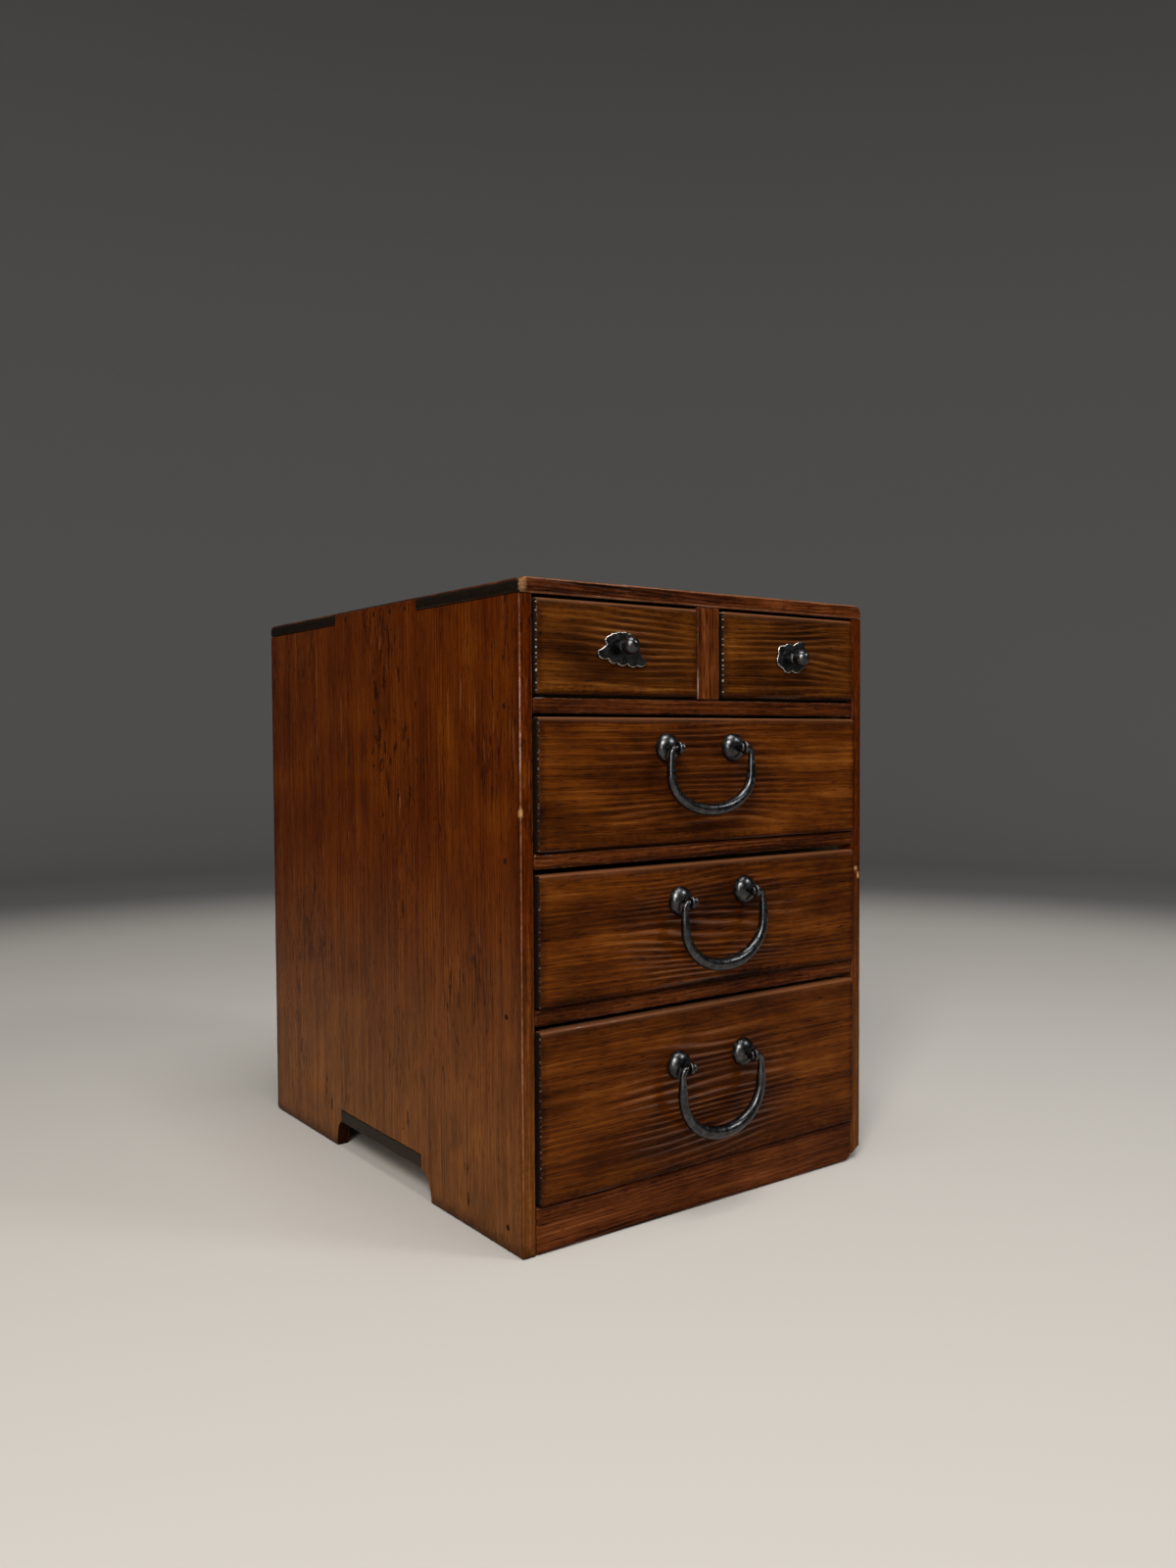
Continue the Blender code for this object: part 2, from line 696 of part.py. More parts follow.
def bail_line(drop, middle_radius):
    """Points and radii of a bail that hangs from the X axis, from its left end round to its right end."""
    eye_half = EYE_STRIP_WIDTH / 2
    eye_x = EYE_SPACING / 2
    collar = eye_x - eye_half - BAIL_END_CLEARANCE
    tip = collar - BAIL_END_LENGTH
    bend_x = eye_x + eye_half + BAIL_END_CLEARANCE
    half_width = bend_x + BAIL_BEND_RADIUS
    line = [
        ((tip, 0.0), BAIL_END_RADIUS * 0.7),
        ((tip + BAIL_END_LENGTH * 0.3, 0.0), BAIL_END_RADIUS),
        ((collar - BAIL_END_LENGTH * 0.3, 0.0), BAIL_END_RADIUS),
        ((collar, 0.0), BAIL_PIN_RADIUS),
    ]
    bend = arc((bend_x, -BAIL_BEND_RADIUS), BAIL_BEND_RADIUS, math.pi / 2, 0.0, 4)
    line += [(point, BAIL_PIN_RADIUS) for point in bend]
    leg_steps = 3
    for i in range(1, leg_steps + 1):
        share = i / leg_steps
        down = -BAIL_BEND_RADIUS - (BAIL_STRAIGHT - BAIL_BEND_RADIUS) * share
        line.append(((half_width, down), eased(BAIL_PIN_RADIUS, BAIL_LEG_RADIUS, share)))
    bow_steps = 11
    bow = drop - middle_radius - BAIL_STRAIGHT
    for i in range(1, bow_steps + 1):
        share = i / bow_steps
        turn = math.pi / 2 * share
        across = half_width * max(math.cos(turn), 0.0) ** (2 / BAIL_SQUARENESS)
        down = -BAIL_STRAIGHT - bow * math.sin(turn) ** (2 / BAIL_SQUARENESS)
        line.append(((across, down), eased(BAIL_LEG_RADIUS, middle_radius, share)))
    left = [((-across, down), radius) for (across, down), radius in line[:-1]]
    whole = left + line[::-1]
    points = [(across, 0.0, down) for (across, down), radius in whole]
    return points, [radius for place, radius in whole]


def eye_pin_line(front_thickness):
    """The split pin in its own YZ plane: a leg bent up inside, the eye round the X axis, a leg bent down."""
    leg = EYE_WIRE_RADIUS + LEG_GAP / 2
    neck_up = leg + EYE_NECK_RADIUS
    neck_reach = EYE_RADIUS + EYE_NECK_RADIUS
    neck_y = math.sqrt(neck_reach**2 - neck_up**2)
    neck_turn = math.atan2(neck_up, neck_y)
    inner_y = PIVOT_STANDOFF + front_thickness + JOINT_GAP + EYE_WIRE_RADIUS
    bend_y = inner_y - LEG_BEND_RADIUS
    bend_up = leg + LEG_BEND_RADIUS
    half = [(inner_y, bend_up + LEG_LENGTH)]
    half += arc((bend_y, bend_up), LEG_BEND_RADIUS, 0.0, -math.pi / 2, 3)
    half += arc((neck_y, neck_up), EYE_NECK_RADIUS, -math.pi / 2, neck_turn - math.pi, 3)
    half += arc((0.0, 0.0), EYE_RADIUS, neck_turn, math.pi, 8)[1:]
    lower = [(y, -up) for y, up in half[:-1]]
    return [(0.0, y, up) for y, up in half + lower[::-1]]


def rosette_profile():
    """The section of a domed washer, from its hole down over its outside and back under."""
    rise = ROSETTE_HEIGHT
    outer = []
    inner = []
    steps = 5
    hole_turn = math.acos(SHANK_HOLE_RADIUS / ROSETTE_RADIUS)
    for i in range(steps + 1):
        turn = hole_turn * (1 - i / steps)
        outer.append((ROSETTE_RADIUS * math.cos(turn), rise * math.sin(turn) / math.sin(hole_turn)))
    inner_radius = ROSETTE_RADIUS - ROSETTE_WALL
    inner_turn = math.acos(SHANK_HOLE_RADIUS / inner_radius)
    inner_rise = rise - ROSETTE_WALL
    for i in range(steps):
        turn = inner_turn * i / (steps - 1)
        inner.append((inner_radius * math.cos(turn), inner_rise * math.sin(turn) / math.sin(inner_turn)))
    return outer + inner


def build_bail_handle(name, slide, front, place_x, place_z, tilt, drop, radius, iron):
    """A bail with its two eye pins and rosettes on a wide drawer's front."""
    axis = add_empty(f"{name}_bail_axis", (place_x, -PIVOT_STANDOFF, place_z), slide, tilt)
    points, radii = bail_line(drop, radius)
    bail = wire_piece(f"{name}_bail", points, radii, BAIL_RESOLUTION, axis)
    keep_as_part(bail, iron)
    pin_line = eye_pin_line(LARGE_FRONT_THICKNESS)
    pin_radii = [EYE_WIRE_RADIUS] * len(pin_line)
    for word, side in (("left", -1), ("right", 1)):
        across = side * EYE_SPACING / 2
        pin = wire_piece(f"{name}_eye_pin_{word}", pin_line, pin_radii, WIRE_RESOLUTION, axis)
        pin.location = (across, 0.0, 0.0)
        pin.scale = (EYE_STRIP_WIDTH / (2 * EYE_WIRE_RADIUS), 1.0, 1.0)
        keep_as_part(pin, iron)
        rosette = turned_piece(f"{name}_rosette_{word}", rosette_profile(), True, axis)
        rosette.location = (across, PIVOT_STANDOFF - JOINT_GAP, 0.0)
        rosette.rotation_euler = (math.radians(90), 0.0, 0.0)
        keep_as_part(rosette, iron)
        centre = (
            place_x + across * math.cos(tilt),
            LARGE_FRONT_THICKNESS / 2,
            place_z + across * math.sin(tilt),
        )
        cut_hole(front, centre, SHANK_HOLE_RADIUS, LARGE_FRONT_THICKNESS + 2 * OVERCUT, slide)


def knob_profile():
    """A ball on a neck, a flange on the plate, and a shank riveted over inside the drawer's front."""
    seat = 2 * JOINT_GAP + PLATE_THICKNESS
    ball_z = KNOB_PROJECTION - KNOB_RADIUS
    neck_turn = -math.acos(KNOB_NECK_RADIUS / KNOB_RADIUS)
    profile = [(max(radius, 0.0), height) for radius, height in arc(
        (0.0, ball_z), KNOB_RADIUS, math.pi / 2, neck_turn, 9
    )]
    profile.append((KNOB_NECK_RADIUS, seat + 2 * KNOB_FLANGE_HEIGHT))
    profile.append((KNOB_FLANGE_RADIUS, seat + KNOB_FLANGE_HEIGHT))
    profile.append((KNOB_FLANGE_RADIUS, seat))
    profile.append((KNOB_SHANK_RADIUS, seat))
    rivet_top = -SMALL_FRONT_THICKNESS - JOINT_GAP
    profile.append((KNOB_SHANK_RADIUS, rivet_top))
    profile.append((KNOB_RIVET_RADIUS, rivet_top))
    profile.append((KNOB_RIVET_RADIUS * 0.7, rivet_top - KNOB_RIVET_HEIGHT))
    profile.append((0.0, rivet_top - KNOB_RIVET_HEIGHT))
    return profile


def build_knob(name, slide, front, place_z, corners, iron):
    """A knob on its cut plate, in the middle of a small drawer's front."""
    upright = (math.radians(90), 0.0, 0.0)
    outline = swollen_outline(corners)
    plate = solid_outline(f"{name}_plate", [outline, circle(KNOB_HOLE_RADIUS, HOLE_STEPS)], PLATE_THICKNESS)
    plate.parent = slide
    plate.location = (0.0, -JOINT_GAP - PLATE_THICKNESS / 2, place_z)
    plate.rotation_euler = upright
    keep_as_part(plate, iron)
    knob = turned_piece(f"{name}_knob", knob_profile(), False, slide)
    knob.location = (0.0, 0.0, place_z)
    knob.rotation_euler = upright
    keep_as_part(knob, iron)
    centre = (0.0, SMALL_FRONT_THICKNESS / 2, place_z)
    cut_hole(front, centre, KNOB_HOLE_RADIUS, SMALL_FRONT_THICKNESS + 2 * OVERCUT, slide)


def build_small_drawers(finishes, chest):
    bay = INNER_HALF - POST_WIDTH / 2
    width = bay - 2 * SIDE_CLEARANCE
    fittings = (
        ("small_drawer_left", -1, LEFT_KNOB_RISE, WINGED_PLATE),
        ("small_drawer_right", 1, RIGHT_KNOB_RISE, LOBED_PLATE),
    )
    for name, side, rise, corners in fittings:
        centre_x = side * (POST_WIDTH + bay) / 2
        slide, front, front_top = build_drawer(
            name, centre_x, SHELF_TOP, width, TOP_ROW_OPENING, TOP_ROW_HEADROOM, True, finishes, chest
        )
        middle_z = (front_top + SMALL_FRONT_LIFT) / 2
        build_knob(name, slide, front, middle_z + rise, corners, finishes["iron"])


def build_wide_drawers(finishes, chest):
    width = 2 * (INNER_HALF - SIDE_CLEARANCE)
    lower_opening = LOWER_RAIL_UNDERSIDE - FLOOR_TOP
    rows = (
        ("upper_drawer", MIDDLE_RAIL_TOP, UPPER_OPENING, UPPER_HEADROOM),
        ("middle_drawer", LOWER_RAIL_TOP, MIDDLE_OPENING, MIDDLE_HEADROOM),
        ("lower_drawer", FLOOR_TOP, lower_opening, LOWER_HEADROOM),
    )
    bails = (
        (UPPER_BAIL_BELOW_TOP, UPPER_BAIL_OFFSET, 0.0, UPPER_BAIL_DROP, UPPER_BAIL_RADIUS),
        (MIDDLE_BAIL_BELOW_TOP, MIDDLE_BAIL_OFFSET, MIDDLE_BAIL_TILT, MIDDLE_BAIL_DROP, MIDDLE_BAIL_RADIUS),
        (LOWER_BAIL_BELOW_TOP, LOWER_BAIL_OFFSET, 0.0, LOWER_BAIL_DROP, LOWER_BAIL_RADIUS),
    )
    for (name, floor_z, opening, headroom), (below_top, offset, tilt, drop, radius) in zip(rows, bails):
        slide, front, front_top = build_drawer(
            name, 0.0, floor_z, width, opening, headroom, False, finishes, chest
        )
        pivot_z = front_top - below_top
        build_bail_handle(name, slide, front, offset, pivot_z, tilt, drop, radius, finishes["iron"])


def main():
    clear_scene()
    finishes = {
        "case": stained_case_wood(),
        "front": stained_front_wood(),
        "inner": bare_inner_wood(),
        "iron": forged_iron(),
    }
    chest = add_empty("chest", (0.0, 0.0, 0.0), None)
    build_case(finishes, chest)
    build_small_drawers(finishes, chest)
    build_wide_drawers(finishes, chest)


main()
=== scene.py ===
"""The looks of a small Japanese document chest: stained boards with raised grain, pegs and forged iron."""

import json
import math
import random
from collections import namedtuple

import bmesh
import bpy
from mathutils import Matrix, Vector, noise


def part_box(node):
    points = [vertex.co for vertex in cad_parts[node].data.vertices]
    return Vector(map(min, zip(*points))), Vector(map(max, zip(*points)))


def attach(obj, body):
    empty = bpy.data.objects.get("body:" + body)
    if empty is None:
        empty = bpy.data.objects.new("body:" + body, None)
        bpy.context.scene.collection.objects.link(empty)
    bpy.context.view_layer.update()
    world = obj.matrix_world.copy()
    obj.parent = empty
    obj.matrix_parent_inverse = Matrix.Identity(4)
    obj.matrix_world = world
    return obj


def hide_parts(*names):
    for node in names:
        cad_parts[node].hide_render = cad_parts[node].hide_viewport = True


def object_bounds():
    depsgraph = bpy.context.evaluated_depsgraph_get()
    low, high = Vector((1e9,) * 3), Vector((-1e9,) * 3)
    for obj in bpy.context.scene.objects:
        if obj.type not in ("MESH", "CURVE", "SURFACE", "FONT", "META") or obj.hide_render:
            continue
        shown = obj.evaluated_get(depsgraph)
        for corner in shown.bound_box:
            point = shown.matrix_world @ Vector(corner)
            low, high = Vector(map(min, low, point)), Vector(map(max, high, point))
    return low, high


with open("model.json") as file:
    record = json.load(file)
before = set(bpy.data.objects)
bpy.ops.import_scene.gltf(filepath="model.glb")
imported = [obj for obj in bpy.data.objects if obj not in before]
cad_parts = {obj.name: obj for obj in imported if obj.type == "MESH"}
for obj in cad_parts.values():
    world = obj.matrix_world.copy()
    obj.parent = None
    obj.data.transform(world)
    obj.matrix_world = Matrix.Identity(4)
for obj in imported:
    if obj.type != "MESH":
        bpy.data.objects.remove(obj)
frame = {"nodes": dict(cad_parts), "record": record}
cad_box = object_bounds()

MM = 0.001
X, Y, Z = 0, 1, 2

# Camera, from the middle of the case's front at floor level
CAMERA_ACROSS = -0.50406
CAMERA_BEFORE_FRONT = 0.55966
CAMERA_HEIGHT = 0.29043
CAMERA_YAW = math.radians(36.312)
CAMERA_PITCH = math.radians(2.1154)
CAMERA_ROLL = math.radians(-0.2972)
FOCAL_PIXELS = 1241.39
PHOTO_HEIGHT_PIXELS = 1600
SENSOR = 36.0

# Stage
PALE_RADIUS = 1.05
DARK_RADIUS = 1.65
FLOOR_RADIUS = 2.0
COVE_RADIUS = 1.0
WALL_HEIGHT = 3.0
COVE_STEPS = 16
STAGE_STEPS = 96
STAGE_SHARP_ANGLE = 60
PALE_PAINT = (0.47, 0.445, 0.41)
DARK_PAINT = (0.17, 0.168, 0.165)

# Lamps, which all face the middle of the chest: place, size, power and colour
LAMP_TARGET = (0.0, 0.0, 0.20)
LAMPS = {
    "key_lamp": ((-1.20, -1.35, 1.55), (0.80, 0.80), 43.0, (1.0, 0.97, 0.93)),
    "right_lamp": ((1.20, -1.65, 1.75), (0.45, 0.45), 15.0, (0.95, 0.97, 1.0)),
    "top_lamp": ((-0.10, -0.45, 2.0), (0.8, 0.8), 19.0, (1.0, 1.0, 1.0)),
    "strip_lamp": ((-1.58, -1.30, 0.58), (0.35, 0.8), 10.0, (1.0, 0.98, 0.96)),
}
ROOM_LIGHT = (0.12, 0.12, 0.12, 1.0)

# Kinds of board: grain, steps in X and Z, height of the raised grain, its pitch in millimetres, stain,
# contrast of the fibres, strength of the clouds, and whether the board is scarred, with painted shade in its
# foot arch, painted glints and a painted reflection paler towards the bottom
Board = namedtuple("Board", "grain steps relief pitch stain contrast mottle scarred")
LONG_STEPS = (0.0035, 0.0005)
KINDS = {
    "small_front": Board(X, LONG_STEPS, 0.00024, 4.4, "amber", 0.62, 0.90, False),
    "wide_front": Board(X, LONG_STEPS, 0.00024, 4.4, "umber", 0.62, 0.90, False),
    "panel": Board(Z, (0.0006, 0.0019), 0.00025, 2.6, "chestnut", 0.62, 0.42, True),
    "rail": Board(X, LONG_STEPS, 0.00034, 2.8, "russet", 1.0, 0.90, False),
    "plinth": Board(X, LONG_STEPS, 0.00034, 2.8, "russet", 0.75, 0.675, False),
    "top": Board(X, (0.0015, 0.0005), 0.00038, 2.4, "russet", 1.0, 0.90, False),
    "post": Board(Z, (0.0005, 0.0025), 0.00025, 3.0, "russet", 0.9, 0.90, False),
}
BACK_BOARD = Board(Z, (0.02, 0.02), 0.0, 4.0, None, 0.0, 0.0, False)
STAINED_BOARDS = {
    "small_drawer_left_front": "small_front",
    "small_drawer_right_front": "small_front",
    "upper_drawer_front": "wide_front",
    "middle_drawer_front": "wide_front",
    "lower_drawer_front": "wide_front",
    "side_panel_left": "panel",
    "side_panel_right": "panel",
    "upper_shelf": "rail",
    "middle_rail": "rail",
    "lower_rail": "rail",
    "plinth_rail": "plinth",
    "top_board": "top",
    "divider_post": "post",
}
DRAWERS = ("small_drawer_left", "small_drawer_right", "upper_drawer", "middle_drawer", "lower_drawer")

# Reach of the hands round a knob or a bail, across and up
HAND_REACHES = {"small_front": (0.055, 0.034), "wide_front": (0.075, 0.042)}

# Cuts and wear of the dressed boards
MERGE = 0.00001
FLAT_ANGLE = 0.5
BOARD_SHARP_ANGLE = 42
FRONT_INSETS = (0.0006, 0.0015, 0.0032, 0.0065)
END_INSETS = (0.0006, 0.0015, 0.0026)
SKIN = 0.00006
ARRIS_WEAR_REACH = 2.0
FRONT_ROUNDING = 0.34
CASE_ROUNDING = 0.10

# Gouges in the left side; a cluster has its middle and its spread, across and up, and its count
GOUGE_SEED = 5
GOUGE_DEPTH = 0.0005
GOUGE_STRIP = 0.0014
GOUGE_HALF_WIDTHS = (0.0014, 0.0030)
GOUGE_HALF_LENGTHS = (0.003, 0.009)
GOUGE_CLUSTERS = (
    (0.000, 0.282, 0.008, 0.018, 22),
    (-0.043, 0.290, 0.004, 0.012, 6),
    (-0.079, 0.242, 0.004, 0.012, 5),
    (-0.018, 0.240, 0.012, 0.040, 9),
    (-0.031, 0.040, 0.002, 0.004, 3),
    (-0.109, 0.025, 0.003, 0.006, 3),
    (0.090, 0.035, 0.005, 0.006, 3),
)

# The arch under a side, whose cut faces are painted dark as shade, and the mark value that sets them apart
# from the gouges
FOOT_LEVEL = 0.0187
FOOT_INSET = 0.01
FOOT_SHADE_MARK = 3.0

# Pale rubbed lines down a side: place from front to back, middle height and half length
RUBBED_LINES = ((0.101, 0.320, 0.046), (0.060, 0.305, 0.017))

# Top right corners that are rubbed round: how far across, back and down, and the share that is lost there
ROUNDED_CORNERS = {
    "top_board": (0.0080, 0.0500, 0.0058, 0.19),
    "small_drawer_right_front": (0.0040, 0.0040, 0.0034, 0.29),
}

# Arrises that are rubbed pale, with a painted highlight added along the top board's top edge and the left
# side's front arris: reach in millimetres, and share of pale wood
ARRIS_WEAR_AND_HIGHLIGHT = {"side_panel_left": (1.15, 0.72), "side_panel_right": (0.85, 0.30), "top_board": (1.5, 0.85)}
COMMON_WEAR = (0.85, 0.60)

# Patterns of stained wood: rates along and across the grain for each millimetre, detail and roughness
WOOD_PATTERNS = {
    "fibre": (0.009, 0.85, 3.0, 0.6),
    "streak": (0.055, 2.3, 3.0, 0.6),
    "hair": (0.10, 5.0, 2.0, 0.5),
    "band": (0.0035, 0.12, 3.0, 0.6),
    "cloud": (0.014, 0.03, 4.0, 0.62),
    "pore": (0.10, 1.4, 2.0, 0.55),
}

# Stains: from the darkest pores to the palest wood
STAINS = {
    "chestnut": (
        (0.0070, 0.0013, 0.0002),
        (0.0540, 0.0086, 0.0004),
        (0.1060, 0.0220, 0.0008),
        (0.2100, 0.0680, 0.0060),
    ),
    "umber": (
        (0.0058, 0.0013, 0.0003),
        (0.0410, 0.0092, 0.0010),
        (0.0900, 0.0222, 0.0020),
        (0.1950, 0.0620, 0.0090),
    ),
    "amber": (
        (0.0070, 0.0020, 0.0004),
        (0.0410, 0.0104, 0.0012),
        (0.0900, 0.0260, 0.0026),
        (0.1950, 0.0690, 0.0100),
    ),
    "russet": (
        (0.0070, 0.0016, 0.0005),
        (0.0500, 0.0110, 0.0020),
        (0.1030, 0.0264, 0.0056),
        (0.2100, 0.0720, 0.0200),
    ),
}
STAIN_STOPS = (0.10, 0.42, 0.64, 0.98)
STAIN_REACH = 9.0

# Other colours of the wood
# Pale wood of rubbed wear, also used as painted highlight along lit arrises and the fronts' top edges, and
# as painted glints on the left side
PALE_WEAR_AND_HIGHLIGHT = (0.270, 0.110, 0.048)
FRESH_WOOD = (0.440, 0.235, 0.095)
# Painted reflection that makes the lower part of a side paler: its dark and pale colours
LOW_REFLECTION_DARK = (0.105, 0.0370, 0.0070)
LOW_REFLECTION_PALE = (0.270, 0.1060, 0.0260)
BARE_DARK = (0.165, 0.092, 0.044)
BARE_PALE = (0.400, 0.250, 0.130)
# Painted glints down the end arrises of the drawers' fronts: their colour, and their share for each stain
PAINTED_GLINT_COLOUR = (0.560, 0.480, 0.400)
PAINTED_GLINT_SHARES = {"amber": 0.50, "umber": 0.12}
PLANED_STOPS = (
    (0.10, (0.110, 0.056, 0.026)),
    (0.42, (0.245, 0.138, 0.066)),
    (0.64, (0.390, 0.240, 0.124)),
    (0.95, (0.560, 0.380, 0.220)),
)

# End grain: dark wood, and the rings in it. The black also serves as painted shade on the front edges of the
# unstained inner boards, and the shaded ends are darker still as painted shade in the gaps.
BLACK_END_AND_GAP_SHADE = (0.0020, 0.0013, 0.0008)
TOP_END = (BLACK_END_AND_GAP_SHADE, (0.0260, 0.0170, 0.0110))
SHADED_END = ((0.0060, 0.0028, 0.0015), (0.0160, 0.0070, 0.0034))
TONGUE_END = ((0.0070, 0.0045, 0.0028), (0.0460, 0.0300, 0.0190))
PEG_END = ((0.004, 0.0016, 0.0008), (0.026, 0.0090, 0.0030))

# Iron
IRON_DARK = (0.042, 0.042, 0.043)
IRON_PALE = (0.098, 0.098, 0.100)
RUST = (0.050, 0.030, 0.020)
BRIGHT_IRON = (0.560, 0.500, 0.430)
CREASE_ANGLE = 55
CREASE = 0.6
JOIN_FACE_ANGLE = 25
JOIN_SHAPE_ANGLE = 60
IRON_SHARP_ANGLE = 50
PLATE_SHARP_ANGLE = 30
PLATE_RIM = 0.0006
PLATE_RIM_ANGLE = 60

# Ironwork by a word in its name: levels of smoothing, girth given back, size and depth of the hammer marks
FORGING = {
    "bail": (2, 0.00030, 0.0048, 0.00012),
    "rosette": (2, 0.00010, 0.0046, 0.00018),
    "eye_pin": (1, 0.00012, 0.0030, 0.00006),
    "knob": (2, 0.00014, 0.0040, 0.00010),
}

# Pegs
PEG_RADIUS = 0.0019
PEG_LENGTH = 0.003
PEG_PROUD = 0.0001
PEG_BEHIND_FRONT = 0.016
PEG_BELOW_TOP = 0.0065
FINGER_PEGS = (-0.036, -0.015, 0.008, 0.051)
BACK_PEGS = 5
BACK_PEG_INSET = 0.006
DRAWER_PEG_INSET = 0.004
DRAWER_PEG_SHARE = 0.8
SHELF_PEG_SHARES = (0.5, 0.92)
DRAWER_PEG_SHARES = (0.25, 0.75)
PEG_SIDES = 16
PEG_CROWN = 0.8
PEG_SPREAD = (0.85, 1.15)
PEG_SEED = 3
PEG_SHARP_ANGLE = 30


class Socket:
    """A shader socket that takes part in plain arithmetic."""

    def __init__(self, finish, socket):
        self.finish = finish
        self.socket = socket

    def combined(self, operation, first, second):
        return self.finish.add("Math", {"operation": operation}, {0: first, 1: second})

    def __add__(self, other):
        return self.combined("ADD", self, other)

    def __radd__(self, other):
        return self.combined("ADD", other, self)

    def __sub__(self, other):
        return self.combined("SUBTRACT", self, other)

    def __rsub__(self, other):
        return self.combined("SUBTRACT", other, self)

    def __mul__(self, other):
        return self.combined("MULTIPLY", self, other)

    def __rmul__(self, other):
        return self.combined("MULTIPLY", other, self)

    def __truediv__(self, other):
        return self.combined("DIVIDE", self, other)

    def least(self, other):
        return self.combined("MINIMUM", self, other)

    def most(self, other):
        return self.combined("MAXIMUM", self, other)

    def fraction(self):
        return self.finish.add("Math", {"operation": "FRACT"}, {0: self})


class Finish:
    """One material: add() makes any node, and the rest are the patterns that the finishes share."""

    def __init__(self, name):
        self.material = bpy.data.materials.new(name)
        self.material.use_nodes = True
        self.tree = self.material.node_tree
        self.tree.nodes.clear()

    def add(self, kind, settings, inputs, output=0):
        node = self.tree.nodes.new("ShaderNode" + kind)
        for key, value in settings.items():
            if key == "stops":
                self.set_stops(node.color_ramp, value)
            else:
                setattr(node, key, value)
        for key, value in inputs.items():
            if isinstance(value, Socket):
                self.tree.links.new(value.socket, node.inputs[key])
            else:
                node.inputs[key].default_value = value
        return Socket(self, node.outputs[output])

    def set_stops(self, ramp, stops):
        while len(ramp.elements) < len(stops):
            ramp.elements.new(0.5)
        for element, (place, colour) in zip(ramp.elements, stops):
            element.position = place
            element.color = (*colour, 1.0)

    def place(self):
        """The place on the object in millimetres, as three sockets."""
        spot = self.add("TexCoord", {}, {}, "Object")
        scaled = self.add("VectorMath", {"operation": "SCALE"}, {0: spot, "Scale": 1 / MM})
        return [self.add("SeparateXYZ", {}, {0: scaled}, axis) for axis in (X, Y, Z)]

    def vector(self, x, y, z):
        return self.add("CombineXYZ", {}, {0: x, 1: y, 2: z})

    def speckle(self, vector, detail=2.0, roughness=0.5):
        settings = {"noise_dimensions": "3D"}
        inputs = {"Vector": vector, "Scale": 1.0, "Detail": detail, "Roughness": roughness}
        return self.add("TexNoise", settings, inputs)

    def pattern(self, spot, along_rate, across_rate, detail=2.0, roughness=0.5):
        """A speckle that is stretched along the first of a spot's three sockets."""
        along, across, depth = spot
        vector = self.vector(along * along_rate, across * across_rate, depth * across_rate)
        return self.speckle(vector, detail, roughness)

    def rise(self, value, start, end):
        """0 before the start, 1 after the end, and eased between them."""
        settings = {"interpolation_type": "SMOOTHSTEP"}
        return self.add("MapRange", settings, {"Value": value, "From Min": start, "From Max": end})

    def fall(self, value, start, end):
        return 1.0 - self.rise(value, start, end)

    def blend(self, share, first, second):
        """A mix of two colours."""
        inputs = {0: share}
        for key, colour in ((6, first), (7, second)):
            inputs[key] = colour if isinstance(colour, Socket) else (*colour, 1.0)
        return self.add("Mix", {"data_type": "RGBA"}, inputs, 2)

    def attribute(self, name):
        return self.add("Attribute", {"attribute_name": name}, {}, "Fac")

    def bump(self, height, depth, strength):
        return self.add("Bump", {}, {"Height": height, "Distance": depth, "Strength": strength})

    def close(self, surface):
        """Joins a shader to the output and returns the material."""
        output = self.tree.nodes.new("ShaderNodeOutputMaterial")
        self.tree.links.new(surface.socket, output.inputs["Surface"])
        return self.material


def ordered(grain, values):
    """Three values as along the grain, then the two across it, with the upright one first."""
    across = [axis for axis in (Z, Y, X) if axis != grain]
    return values[grain], values[across[0]], values[across[1]]


def edge_distance(place, low, high):
    """Millimetres to the nearest edge of a board's box, on whichever face the place lies."""
    gaps = []
    for axis in (X, Y, Z):
        start = low[axis] / MM
        end = high[axis] / MM
        gaps.append((place[axis] - start).least(end - place[axis]))
    first, second, third = gaps
    return first.least(second).most(first.most(second).least(third))


def distance(socket, value):
    return (socket - value).most(value - socket)


def hidden_side(finish, place):
    """1 on the faces inside the case, which were never stained."""
    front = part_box("side_panel_left")[0].y / MM
    half_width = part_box("side_panel_right")[0].x / MM
    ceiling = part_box("top_board")[0].z / MM
    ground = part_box("bottom_board")[1].z / MM
    sideways = place[X].most(0.0 - place[X])
    depth = finish.rise(place[Y], front + STAIN_REACH, front + STAIN_REACH + 5.0)
    level = finish.rise(place[Z], ground - 0.5, ground) * finish.fall(place[Z], ceiling + 0.2, ceiling + 0.5)
    return depth * level * finish.fall(sideways, half_width + 0.2, half_width + 0.5)


def hands_grease_and_sheen(finish, place, fray, handled):
    """1 where hands reach round a knob or bail, fading out at the end of their reach."""
    centre_x, centre_z, reach_x, reach_z = handled
    side = (place[X] - centre_x / MM) / (reach_x / MM)
    height = (place[Z] - centre_z / MM) / (reach_z / MM)
    return finish.fall(side * side + height * height + (fray - 0.5) * 0.9, 0.2, 1.3)


def rubbed_top_and_highlight(finish, below_top, fibre, streak):
    """The share of pale colour at the top edge of a drawer's front, from the millimetres below it: a broad
    rubbed band, and a crisp painted highlight along the arris.
    """
    broad = finish.fall(below_top + (fibre - 0.5) * 9.0 + (streak - 0.5) * 4.0, 0.0, 4.0)
    crisp_highlight = finish.fall(below_top + (streak - 0.5) * 1.5, 0.8, 1.6)
    return (broad * 0.20).most(crisp_highlight * 0.32)


